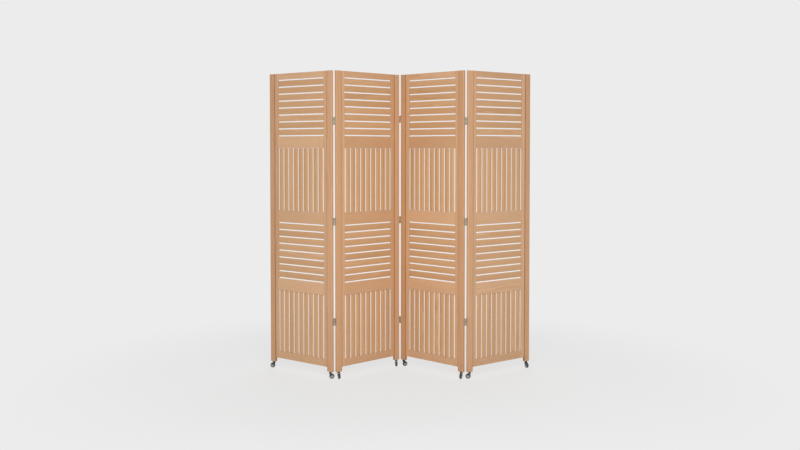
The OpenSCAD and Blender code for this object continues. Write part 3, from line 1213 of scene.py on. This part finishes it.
@dataclass
class Panel:
    """One louvred panel: posts, stiles, rails and slats.

    Rails and banks of slats are stacked from frame_bottom to the top. The gap beside a stile is
    end_gap_share times the gap between two upright slats.
    """

    k: int
    bench: Bench
    place: Matrix
    post_w: float = 40 * MM
    post_t: float = 16 * MM
    post_round: float = 2.6 * MM
    foot_round: float = 4 * MM
    half_width: float = 254 * MM
    bottom: float = 40 * MM
    top: float = 1778 * MM
    stile_w: float = 26 * MM
    frame_t: float = 10 * MM
    frame_round: float = 1.4 * MM
    frame_bottom: float = 66 * MM
    opening: float = 376 * MM
    rail_play: float = 0.1 * MM
    rail_h: tuple[float, ...] = (44 * MM, 72 * MM, 72 * MM, 72 * MM, 36 * MM)
    rail_names: tuple[str, ...] = ("bottom", "lower", "middle", "upper", "top")
    bank_h: tuple[float, ...] = (370 * MM, 338 * MM, 370 * MM, 338 * MM)
    slat_w: float = 35 * MM
    level_slats: int = 8
    upright_slats: int = 9
    end_gap_share: float = 1.85
    turning_panel: int = 2

    @property
    def body(self) -> str:
        """The body that the panel's fixed pieces ride on."""
        return f"panel_{self.k}"

    def stack(self) -> tuple[list[float], list[float]]:
        """Stacks the rails and the banks between them.

        Returns:
            The lower edges of the five rails and of the four banks.
        """
        rails, banks = [self.frame_bottom], []
        for rail, bank in zip(self.rail_h, self.bank_h):
            banks.append(rails[-1] + rail)
            rails.append(banks[-1] + bank)
        return rails, banks

    def wood(self, name: str, bm: BMesh, node: str, slot: str, finish: WoodFinish,
             body: str = "") -> None:
        """Adds one wooden piece of this panel.

        Args:
            name: the piece's name after the panel's.
            bm: its mesh at its place.
            node: the CAD node that it stands for.
            slot: the record's slot.
            finish: its finish.
            body: its own body, where it turns.
        """
        self.bench.piece(f"{self.body}_{name}", bm, body or self.body, [node], slot, finish)

    def build_posts(self) -> None:
        """Builds the two posts, with rounded feet."""
        long = self.top - self.bottom
        for side in Side:
            # The inner edge, next to the stile, gets painted crevice shade.
            board = Board(self.post_w, self.post_t, long, self.post_round, self.foot_round,
                          pooled_side=-side.value)
            spot = self.place @ shift(side.value * (self.half_width - self.post_w / 2), 0,
                                      self.bottom + long / 2)
            self.wood(f"{side.word}_post", placed(board.build(f"post {self.k} {side.word}"), spot),
                      f"{self.body}_posts", "post_wood", POST_WOOD)

    def build_frame(self) -> None:
        """Builds the stiles and the rails between them."""
        node = f"{self.body}_louvre_frame"
        long = self.top - self.frame_bottom
        for side in Side:
            # The outer edge, next to the post, gets painted crevice shade.
            board = Board(self.stile_w, self.frame_t, long, self.frame_round,
                          pooled_side=side.value)
            spot = self.place @ shift(side.value * (self.opening + self.stile_w) / 2, 0,
                                      self.frame_bottom + long / 2)
            stile = placed(board.build(f"stile {self.k} {side.word}"), spot)
            self.wood(f"{side.word}_stile", stile, node, "frame_wood", FRAME_WOOD)
        for z, high, word in zip(self.stack()[0], self.rail_h, self.rail_names):
            board = Board(high, self.frame_t, self.opening - self.rail_play, self.frame_round)
            spot = self.place @ shift(0, 0, z + high / 2) @ LYING
            rail = placed(board.build(f"rail {self.k} {word}"), spot)
            self.wood(f"{word}_rail", rail, node, "frame_wood", FRAME_WOOD)

    def slat_spots(self, bank: Bank) -> list[Matrix]:
        """Where the slats of one opening stand.

        Args:
            bank: the opening.

        Returns:
            One move for each slat, from below up or from the left.
        """
        low, high = self.stack()[1][bank.value], self.bank_h[bank.value]
        if bank.level:
            count = self.level_slats
            gap = (high - count * self.slat_w) / (count + 1)
            first = low + gap + self.slat_w / 2
            return [self.place @ shift(0, 0, first + i * (self.slat_w + gap)) @ LYING
                    for i in range(count)]
        count = self.upright_slats
        gap = (self.opening - count * self.slat_w) / (count - 1 + 2 * self.end_gap_share)
        middle = (count - 1) / 2
        return [self.place @ shift((i - middle) * (self.slat_w + gap), 0, low + high / 2)
                for i in range(count)]

    def build_slats(self) -> None:
        """Builds all slats; those of panel 2's upper half turn on bodies of their own."""
        for bank in reversed(Bank):
            slat = Slat(self.opening if bank.level else self.bank_h[bank.value], self.slat_w)
            blades = [placed(slat.build(f"slat {self.k} {bank.name} {i}"), spot)
                      for i, spot in enumerate(self.slat_spots(bank), 1)]
            if self.k == self.turning_panel and bank.upper:
                for i, blade in enumerate(blades, 1):
                    word = f"{'top' if bank.level else 'upright'}_slat_{i}"
                    body = f"{self.body}_{word}"
                    self.wood(f"{word}_blade", blade, body, "slat_wood", SLAT_WOOD, body)
            else:
                self.wood(f"{bank.name.lower()}_slats", joined(blades), f"{self.body}_slats",
                          "slat_wood", SLAT_WOOD)

    def build(self) -> None:
        """Builds the whole panel."""
        self.build_posts()
        self.build_frame()
        self.build_slats()


@dataclass
class Hinge:
    """One butt hinge: two leaves with rolled knuckles, six screws and a headed pin.

    A leaf's own frame has the pin's axis at the origin along z and the panel towards -x. A
    screw's profile is (radius, height) pairs from its head's rim to its tip. A pin's head is
    straight over rim_share of its height, and its dome is centred at dome_share of it.
    """

    leaf_t: float = 1.6 * MM
    leaf_w: float = 13 * MM
    leaf_h: float = 42 * MM
    leaf_round: float = 0.2 * MM
    corner: float = 2 * MM
    knuckle_r: float = 3.2 * MM
    knuckle_lip: float = 0.35 * MM
    knuckles: int = 5
    gap: float = 0.2 * MM
    notch_gap: float = 0.3 * MM
    axis_out: float = 2.3 * MM
    axis_proud: float = 3 * MM
    pin_r: float = 1.5 * MM
    head_r: float = 2.3 * MM
    head_h: float = 1.2 * MM
    rim_share: float = 0.1
    dome_share: float = 0.25
    screw_step: float = 14 * MM
    screw_proud: float = 0.08 * MM
    screw_profile: tuple[tuple[float, float], ...] = (
        (2.5 * MM, -0.12 * MM), (1.25 * MM, -1.1 * MM), (1.1 * MM, -10.6 * MM),
        (0.15 * MM, -12 * MM))
    screw_sides: int = 24
    recess_arm: float = 1.35 * MM
    recess_half: float = 0.3 * MM
    recess_deep: float = 0.9 * MM
    recess_taper: float = 0.55

    def knuckle(self, n: int) -> BMesh:
        """Builds a knuckle with eased ends.

        Args:
            n: its place along the pin, counted from below.

        Returns:
            The mesh.
        """
        step, lip = self.leaf_h / self.knuckles, self.knuckle_lip
        low = -self.leaf_h / 2 + n * step + self.gap / 2
        high = low + step - self.gap
        flat = self.knuckle_r - lip
        profile = [(0, low), (flat, low)] + arc((flat, low + lip), lip, -60, 0, 3)
        profile += arc((flat, high - lip), lip, 0, 60, 3) + [(flat, high), (0, high)]
        return turned(profile, steps=24)

    def leaf(self, first: int) -> BMesh:
        """Builds a leaf.

        Args:
            first: the first knuckle that this leaf keeps, 0 or 1.

        Returns:
            The mesh.
        """
        step, foot = self.leaf_h / self.knuckles, -self.leaf_h / 2
        reach = self.axis_proud + self.leaf_w
        notch = self.knuckle_r + self.notch_gap
        bm = block((self.leaf_t, reach - notch, self.leaf_h),
                   (-self.axis_out + self.leaf_t / 2, -(reach + notch) / 2, 0))
        for n in range(1, self.knuckles):
            bmesh.ops.bisect_plane(bm, geom=bm.verts[:] + bm.edges[:] + bm.faces[:],
                                   plane_co=(0, 0, foot + n * step), plane_no=(0, 0, 1))
        strips = [face for face in bm.faces if face.normal.y > PARALLEL
                  and int((face.calc_center_median().z - foot) / step) % 2 == first]
        for strip in strips:
            grown = bmesh.ops.extrude_discrete_faces(bm, faces=[strip])
            bmesh.ops.translate(bm, verts=grown["faces"][0].verts[:], vec=(0, notch, 0))
        bmesh.ops.remove_doubles(bm, verts=bm.verts[:], dist=SAME_POINT)
        outer = edges_where(bm, lambda e: runs_along(e, 0) and e.verts[0].co.y < NEARLY - reach
                            and abs(abs(e.verts[0].co.z) + foot) < NEARLY)
        round_edges(bm, outer, self.corner, segments=4)
        rim = edges_where(bm, lambda e: bends_over(e, 60)
                          and all(vert.co.y < NEARLY - notch for vert in e.verts))
        round_edges(bm, rim, self.leaf_round, segments=2)
        rolls = [self.knuckle(n) for n in range(first, self.knuckles, 2)]
        return recalc(joined([bm, *rolls]))

    def screw(self) -> BMesh:
        """Builds a countersunk screw along -x, its cross-recessed head towards +x.

        Returns:
            The mesh, with its head's face at x 0.
        """
        bm = bmesh.new()
        sides = self.screw_sides
        bmesh.ops.create_circle(bm, segments=sides, radius=self.screw_profile[0][0])
        inner = bmesh.ops.create_circle(bm, segments=sides, radius=self.recess_arm)["verts"]
        for vert in inner:
            x, y = abs(vert.co.x), abs(vert.co.y)
            width = min(x, y, self.recess_half)
            length = self.recess_half if abs(x - y) < NEARLY else max(x, y)
            vert.co.x = math.copysign(length if x > y else width, vert.co.x)
            vert.co.y = math.copysign(width if x > y else length, vert.co.y)
        bmesh.ops.bridge_loops(bm, edges=bm.edges[:])
        brink = edges_where(bm, lambda e: e.is_boundary and all(v in inner for v in e.verts))
        sunk = bmesh.ops.extrude_edge_only(bm, edges=brink)
        floor = made_by(sunk, BMVert)
        for vert in floor:
            vert.co = Vector((vert.co.x * self.recess_taper, vert.co.y * self.recess_taper,
                              vert.co.z - self.recess_deep))
        bmesh.ops.contextual_create(bm, geom=edges_where(
            bm, lambda e: e.is_boundary and all(v in floor for v in e.verts)))
        rim = edges_where(bm, lambda e: e.is_boundary)
        for radius, height in self.screw_profile:
            grown = bmesh.ops.extrude_edge_only(bm, edges=rim)
            for vert in made_by(grown, BMVert):
                flat = Vector((vert.co.x, vert.co.y, 0)).normalized() * radius
                vert.co = Vector((flat.x, flat.y, height))
            rim = made_by(grown, BMEdge)
        bmesh.ops.contextual_create(bm, geom=rim)
        return placed(recalc(bm), LYING)

    def pin(self) -> BMesh:
        """Builds the pin with a domed head at each end.

        Returns:
            The mesh, along z about its middle.
        """
        half, wide, high = self.leaf_h / 2, self.head_r, self.head_h
        low = half + self.dome_share * high
        upper = [(wide * r, low + (1 - self.dome_share) * high * z)
                 for r, z in arc((0, 0), 1.0, 8, 90, 5)]
        upper[-1] = (0.0, half + high)
        lower = [(r, -z) for r, z in reversed(upper)]
        rim = half + self.rim_share * high
        shank = [(wide, -rim), (wide, -half), (self.pin_r, -half), (self.pin_r, half),
                 (wide, half), (wide, rim)]
        return turned(lower + shank + upper, steps=20)


@dataclass
class Hinges:
    """All nine hinges of the screen.

    Each edge is a panel, its side, the face of its pins and the first knuckle of its leaves.
    The screws' recesses stand at odd angles, in degrees: twists are a panel's, a screw's and a
    first one.
    """

    bench: Bench
    stance: Stance
    hinge: Hinge = field(default_factory=Hinge)
    back_z: tuple[float, ...] = (331 * MM, 910 * MM, 1489 * MM)
    front_z: tuple[float, ...] = (284 * MM, 897 * MM, 1510 * MM)
    edges: tuple[tuple[int, Side, Face, int], ...] = (
        (1, Side.RIGHT, Face.BACK, 1), (2, Side.LEFT, Face.BACK, 0),
        (2, Side.RIGHT, Face.FRONT, 0), (3, Side.LEFT, Face.FRONT, 1),
        (3, Side.RIGHT, Face.BACK, 0), (4, Side.LEFT, Face.BACK, 1))
    pins: tuple[tuple[int, Face, str], ...] = (
        (1, Face.BACK, "panel_2"), (2, Face.FRONT, "panel_2"), (3, Face.BACK, "panel_3"))
    twists: tuple[int, int, int] = (23, 31, 17)

    def heights(self, face: Face) -> tuple[float, ...]:
        """The hinges' heights on a face."""
        return self.back_z if face is Face.BACK else self.front_z

    def leaf_place(self, k: int, side: Side, face: Face, z: float) -> Matrix:
        """The move from a leaf's own frame to its place.

        Args:
            k: the panel.
            side: the panel's edge.
            face: the face that the pin stands on.
            z: the hinge's height.

        Returns:
            The move, which may mirror.
        """
        spot = self.stance.hinge(side, face)
        turn = Matrix.Diagonal((side.value, face.value, 1.0, 1.0))
        return self.stance.stand(k) @ shift(spot.x, spot.y, z) @ turn

    def screws(self, k: int, place: Matrix) -> list[BMesh]:
        """Builds the three screws of a leaf.

        Args:
            k: the panel.
            place: the leaf's place.

        Returns:
            The screws' meshes at their places.
        """
        h, made = self.hinge, []
        for n, step in enumerate((-1, 0, 1)):
            spot = shift(h.leaf_t - h.axis_out + h.screw_proud, -h.axis_proud - h.leaf_w / 2,
                         step * h.screw_step)
            angle = self.twists[0] * k + self.twists[1] * n + self.twists[2]
            twist = Matrix.Rotation(math.radians(angle), 4, "X")
            made.append(placed(h.screw(), place @ spot @ twist))
        return made

    def build(self) -> None:
        """Builds leaves, screws and pins."""
        for k, side, face, first in self.edges:
            leaves, screws = [], []
            for z in self.heights(face):
                place = self.leaf_place(k, side, face, z)
                leaves.append(placed(self.hinge.leaf(first), place))
                screws += self.screws(k, place)
            body = f"panel_{k}"
            name = f"{body}_{side.word}"
            self.bench.piece(f"{name}_leaves", joined(leaves), body, [f"{body}_hinge_leaves"],
                             "hinge_steel", HINGE_STEEL)
            self.bench.piece(f"{name}_leaf_screws", joined(screws), body,
                             [f"{body}_hinge_screws"], "screw_steel", SCREW_STEEL)
        for k, face, body in self.pins:
            axis = self.stance.stand(k) @ self.stance.hinge(Side.RIGHT, face)
            pins = [placed(self.hinge.pin(), shift(axis.x, axis.y, z))
                    for z in self.heights(face)]
            self.bench.piece(f"barrel_pins_{k}_{k + 1}", joined(pins), body,
                             [f"hinge_pins_{k}_{k + 1}"], "hinge_steel", HINGE_STEEL)


@dataclass
class Caster:
    """One swivel caster under a post.

    Its own frame has the stem's axis at the origin along z, the floor at z 0, and trails to +x.
    Heights are above the floor. The fork's rear and front edges are (x, height) pairs, with x
    counted from the edge of its top. The race is a groove round the crown, at race_z. The dome
    of a rivet's head is centred at dome_share of its height.
    """

    k: int
    side: Side
    bench: Bench
    place: Matrix
    post_bottom: float = 40 * MM
    flange_r: float = 8 * MM
    flange_low: float = 38.5 * MM
    flange_round: float = 0.6 * MM
    sleeve_r: float = 4.5 * MM
    sleeve_top: float = 63 * MM
    stem_r: float = 3 * MM
    stem_top: float = 60 * MM
    stem_point: float = 0.6 * MM
    crown_r: float = 7.5 * MM
    crown_low: float = 35 * MM
    crown_top: float = 38.2 * MM
    crown_round: float = 0.6 * MM
    crown_step: float = 0.9 * MM
    crown_ease: float = 0.7 * MM
    race_z: float = 36.8 * MM
    race_half: float = 0.3 * MM
    race_floor: float = 0.1 * MM
    race_deep: float = 0.5 * MM
    bridge: tuple[float, float, float] = (13.5 * MM, 13.8 * MM, 3.7 * MM)
    bridge_z: float = 33.35 * MM
    bridge_corner: float = 2.2 * MM
    bridge_round: float = 0.5 * MM
    fork_half: float = 6.75 * MM
    fork_top: float = 33.5 * MM
    fork_rear: tuple[tuple[float, float], ...] = ((0.0, 30.5 * MM), (1.6 * MM, 26 * MM))
    fork_front: tuple[tuple[float, float], ...] = (
        (5 * MM, 22 * MM), (2.4 * MM, 28 * MM), (0.0, 31 * MM))
    fork_t: float = 1.5 * MM
    fork_y: float = 7 * MM
    fork_round: float = 0.3 * MM
    eye_r: float = 4.5 * MM
    trail: float = 8 * MM
    axle_r: float = 2 * MM
    axle_play: float = 0.05 * MM
    head_r: float = 3.25 * MM
    head_h: float = 0.8 * MM
    dome_share: float = 0.2
    wheel_r: float = 15 * MM
    wheel_w: float = 10 * MM
    tread_r: float = 8 * MM
    tread_steps: int = 8
    hub_r: float = 10 * MM
    hub_play: float = 0.02 * MM
    hub_soft: float = 0.3 * MM
    rim_t: float = 1.6 * MM
    bore_r: float = 2.05 * MM
    boss_r: float = 3.6 * MM
    dish: float = 1.3 * MM
    dish_slope: float = 0.4 * MM

    @property
    def word(self) -> str:
        """How the names of this caster's pieces start."""
        return f"panel_{self.k}_{self.side.word}_caster"

    def on_axle(self, part: BMesh) -> BMesh:
        """Moves a part that was turned about z to the axle.

        Args:
            part: the mesh to move.

        Returns:
            The same mesh.
        """
        lie = Matrix.Rotation(math.radians(90), 4, "X")
        return placed(part, self.place @ shift(self.trail, 0, self.wheel_r) @ lie)

    def build_socket(self) -> None:
        """Builds the flanged sleeve in the post."""
        r, low, soft = self.flange_r, self.flange_low, self.flange_round
        profile = [(0, low), (r - soft, low)] + arc((r - soft, low + soft), soft, -70, 0, 4)
        profile += [(r, self.post_bottom), (self.sleeve_r, self.post_bottom),
                    (self.sleeve_r, self.sleeve_top), (0, self.sleeve_top)]
        sleeve = placed(turned(profile, steps=28), self.place)
        self.bench.piece(f"{self.word}_socket", sleeve, f"panel_{self.k}",
                         [f"panel_{self.k}_caster_sockets"], "caster_steel", CASTER_STEEL)

    def fork_side(self, sign: int) -> BMesh:
        """Builds one side of the fork.

        Args:
            sign: -1 or 1 for the side on y.

        Returns:
            The mesh.
        """
        bm = bmesh.new()
        half, top = self.fork_half, self.fork_top
        outline = [(-half, top)] + [(-half + x, z) for x, z in self.fork_rear]
        outline += arc((self.trail, self.wheel_r), self.eye_r, 200, 375, 12)
        outline += [(half + x, z) for x, z in self.fork_front] + [(half, top)]
        inside = sign * (self.fork_y - self.fork_t)
        corners = [bm.verts.new((x, inside, z)) for x, z in outline]
        bmesh.ops.contextual_create(bm, geom=corners)
        grown = bmesh.ops.extrude_face_region(bm, geom=bm.faces[:])
        bmesh.ops.translate(bm, verts=made_by(grown, BMVert), vec=(0, sign * self.fork_t, 0))
        rims = edges_where(recalc(bm), lambda e: not runs_along(e, 1))
        round_edges(bm, rims, self.fork_round, segments=2)
        return bm

    def crown(self) -> BMesh:
        """Builds the crown with its race, and the stem above it.

        Returns:
            The mesh.
        """
        r, low, high, soft = self.crown_r, self.crown_low, self.crown_top, self.crown_round
        race, half, floor = self.race_z, self.race_half, self.race_floor
        ease, groove, stem = self.crown_ease, r - self.race_deep, self.stem_r
        profile = [(0, low), (r - self.crown_step, low)]
        profile += arc((r - ease, low + self.crown_step), ease, -60, 0, 4)
        profile += [(r, race - half), (groove, race - floor), (groove, race + floor),
                    (r, race + half), (r, high - soft)]
        profile += arc((r - soft, high - soft), soft, 0, 90, 4)
        profile += [(stem, high), (stem, self.stem_top - self.stem_point),
                    (stem - self.stem_point, self.stem_top), (0, self.stem_top)]
        return turned(profile, steps=28)

    def build_fork(self) -> None:
        """Builds the fork with its crown, race and stem."""
        bridge = block(self.bridge, (0, 0, self.bridge_z))
        corners = edges_where(bridge, lambda e: runs_along(e, 2))
        round_edges(bridge, corners, self.bridge_corner, segments=4)
        rims = edges_where(bridge, lambda e: bends_over(e, 60))
        round_edges(bridge, rims, self.bridge_round, segments=2)
        shell = joined([bridge, self.fork_side(-1), self.fork_side(1), self.crown()])
        body = f"{self.word}_fork"
        self.bench.piece(f"{self.word}_fork_shell", placed(shell, self.place), body, [body],
                         "caster_steel", CASTER_STEEL)

    def build_axle(self) -> None:
        """Builds the riveted axle with its domed heads."""
        reach, wide, high = self.fork_y + self.axle_play, self.head_r, self.head_h
        upper = [(wide * r, reach + high * (self.dome_share + (1 - self.dome_share) * z))
                 for r, z in arc((0, 0), 1.0, 10, 90, 5)]
        upper[-1] = (0.0, reach + high)
        lower = [(r, -z) for r, z in reversed(upper)]
        shank = [(wide, -reach), (self.axle_r, -reach), (self.axle_r, reach), (wide, reach)]
        axle = self.on_axle(turned(lower + shank + upper, steps=20))
        body = f"{self.word}_fork"
        self.bench.piece(f"{self.word}_axle", axle, body, [body], "caster_steel", SCREW_STEEL)

    def build_wheel(self) -> None:
        """Builds the tyre with its rounded tread and the hub with its dished sides."""
        body = f"{self.word}_wheel"
        half, soft, slope = self.wheel_w / 2, self.hub_soft, self.dish_slope
        tread = []
        for i in range(self.tread_steps + 1):
            z = -half + self.wheel_w * i / self.tread_steps
            sag = self.tread_r - math.sqrt(self.tread_r ** 2 - z * z)
            tread.append((self.wheel_r - sag, z))
        inner = self.hub_r + self.hub_play
        tyre = turned([(inner, -half)] + tread + [(inner, half), (inner, -half)], steps=40)
        self.bench.piece(f"{self.word}_tyre", self.on_axle(tyre), body, [body], "wheel_rubber",
                         TYRE_RUBBER)
        rim, boss, deep = self.hub_r - self.rim_t, self.boss_r, half - self.dish
        side = [(self.bore_r, half), (boss - soft, half), (boss, half - soft),
                (boss + slope, deep), (rim - slope, deep), (rim, half - soft),
                (rim + soft, half), (self.hub_r, half)]
        hub = turned(side + [(x, -z) for x, z in reversed(side)] + [side[0]], steps=40)
        self.bench.piece(f"{self.word}_hub", self.on_axle(hub), body, [body], "wheel_rubber",
                         HUB_PLASTIC)

    def build(self) -> None:
        """Builds the whole caster."""
        self.build_socket()
        self.build_fork()
        self.build_axle()
        self.build_wheel()


@dataclass
class Casters:
    """The eight casters, with the way that each trails as the screen stands, in degrees."""

    bench: Bench
    stance: Stance
    post_w: float = 40 * MM
    headings: tuple[tuple[float, float], ...] = ((165, 0), (-70, -82), (24, -112), (180, -60))

    def build(self) -> None:
        """Builds the casters two by two."""
        out = self.stance.half_width - self.post_w / 2
        for k, pair in enumerate(self.headings, 1):
            for side, heading in zip(Side, pair):
                place = (self.stance.stand(k) @ shift(side.value * out, 0, 0)
                         @ turn_z(heading - self.stance.angles[k - 1]))
                Caster(k, side, self.bench, place).build()


# ---------------------------------------------------------------- stage


@dataclass
class Studio:
    """A pale floor, soft light from the front and the back, and the photograph's camera.

    The floor looks like the backdrop from the fade's outer distance on, and by the share
    near_glow within its inner distance.
    """

    pale: Colour = srgb(236, 236, 236)
    floor_tone: Colour = srgb(222, 222, 222)
    floor_half: float = 60.0
    fade: tuple[float, float] = (1.1, 2.4)
    near_glow: float = 0.78
    sky: float = 0.42
    aim: tuple[float, float, float] = (0.0, 0.0, 0.9)
    eye: tuple[float, float, float] = (0.0, -5.8539, 1.3255)
    pitch: float = 2.053
    lens: float = 44.55
    sensor: float = 36.0
    view_shift: float = -0.05

    def seen(self, sheet: NodeSheet) -> NodeSocket:
        """Adds the test for rays that see the background.

        Args:
            sheet: the tree to add it to.

        Returns:
            1 for camera, glossy and transmission rays, and 0 for the rest.
        """
        path = sheet.add("ShaderNodeLightPath").outputs
        sharp = sheet.math("MAXIMUM", path["Is Camera Ray"], path["Is Glossy Ray"])
        return sheet.math("MAXIMUM", sharp, path["Is Transmission Ray"])

    def send_mix(self, sheet: NodeSheet, factor: NodeSocket, first: Node, second: Node,
                 end: str) -> None:
        """Mixes two shaders and sends them out.

        Args:
            sheet: the tree.
            factor: how much of the second shader shows.
            first: the first shader.
            second: the second shader.
            end: the type of the output node.
        """
        blend = sheet.fill(sheet.add("ShaderNodeMixShader"),
                           [factor, first.outputs[0], second.outputs[0]])
        sheet.fill(sheet.add(end), [blend.outputs[0]])

    def build_floor(self) -> None:
        """Builds the floor, which keeps the object's shadow and fades into the background."""
        bm = bmesh.new()
        bmesh.ops.create_grid(bm, x_segments=8, y_segments=8, size=self.floor_half)
        mesh = bpy.data.meshes.new("studio_floor")
        bm.to_mesh(mesh)
        bm.free()
        material = bpy.data.materials.new("pale_floor")
        sheet = emptied(material)
        matt = sheet.add("ShaderNodeBsdfDiffuse")
        sheet.feed(matt.inputs, Color=self.floor_tone)
        glow = sheet.add("ShaderNodeEmission")
        sheet.feed(glow.inputs, Color=self.pale)
        away = sheet.vector("LENGTH", sheet.here()).outputs["Value"]
        far = sheet.math("MULTIPLY", sheet.ramp(away, *self.fade, self.near_glow, 1.0),
                         self.seen(sheet))
        self.send_mix(sheet, far, matt, glow, "ShaderNodeOutputMaterial")
        mesh.materials.append(material)
        add_object("studio_floor", mesh)

    def build_world(self) -> None:
        """Builds an even sky whose background shows pale."""
        world = bpy.data.worlds.new("studio_sky")
        sheet = emptied(world)
        light = sheet.add("ShaderNodeBackground")
        sheet.feed(light.inputs, Color=(1.0, 1.0, 1.0, 1.0), Strength=self.sky)
        shown = sheet.add("ShaderNodeBackground")
        sheet.feed(shown.inputs, Color=self.pale, Strength=1.0)
        self.send_mix(sheet, self.seen(sheet), light, shown, "ShaderNodeOutputWorld")
        bpy.context.scene.world = world

    def add_sun(self, name: str, towards: tuple[float, float, float], strength: float,
                spread: float) -> None:
        """Adds one soft far lamp.

        Args:
            name: the lamp's name.
            towards: the direction from the object to the lamp.
            strength: its strength.
            spread: how wide it is, in degrees.
        """
        lamp = bpy.data.lights.new(name, "SUN")
        lamp.energy = strength
        lamp.angle = math.radians(spread)
        holder = add_object(name, lamp)
        holder.rotation_euler = Vector(towards).to_track_quat("Z", "Y").to_euler()

    def add_softbox(self, name: str, spot: tuple[float, float, float], size: float,
                    power: float) -> None:
        """Adds one square softbox that faces the screen's middle.

        Args:
            name: the lamp's name.
            spot: where it stands.
            size: the length of its side.
            power: its power in watts.
        """
        lamp = bpy.data.lights.new(name, "AREA")
        lamp.size = size
        lamp.energy = power
        holder = add_object(name, lamp)
        holder.location = spot
        away = Vector(spot) - Vector(self.aim)
        holder.rotation_euler = away.to_track_quat("Z", "Y").to_euler()

    def build_camera(self) -> None:
        """Builds the camera at the photograph's place."""
        data = bpy.data.cameras.new("front_camera")
        data.lens = self.lens
        data.sensor_width = self.sensor
        data.shift_y = self.view_shift
        camera = add_object("front_camera", data)
        camera.location = self.eye
        camera.rotation_euler = (math.radians(90 - self.pitch), 0, 0)
        bpy.context.scene.camera = camera

    def build(self) -> None:
        """Builds the whole stage."""
        self.build_floor()
        self.build_world()
        self.add_sun("front_window", towards=(0.0, -0.9, 0.55), strength=0.82, spread=40)
        self.add_sun("back_window", towards=(0.15, 0.9, 0.65), strength=1.15, spread=50)
        self.add_softbox("front_softbox", spot=(0.0, -3.2, 1.5), size=1.6, power=49)
        self.build_camera()
        bpy.context.scene.view_settings.view_transform = "Standard"


def main() -> None:
    """Builds and dresses the screen, then its stage."""
    logging.basicConfig(level=logging.INFO, format="%(message)s")
    bench = Bench()
    stance = Stance()
    for k in range(1, len(stance.angles) + 1):
        Panel(k, bench, stance.stand(k)).build()
    Hinges(bench, stance).build()
    Casters(bench, stance).build()
    Studio().build()


if __name__ == "__main__":
    main()
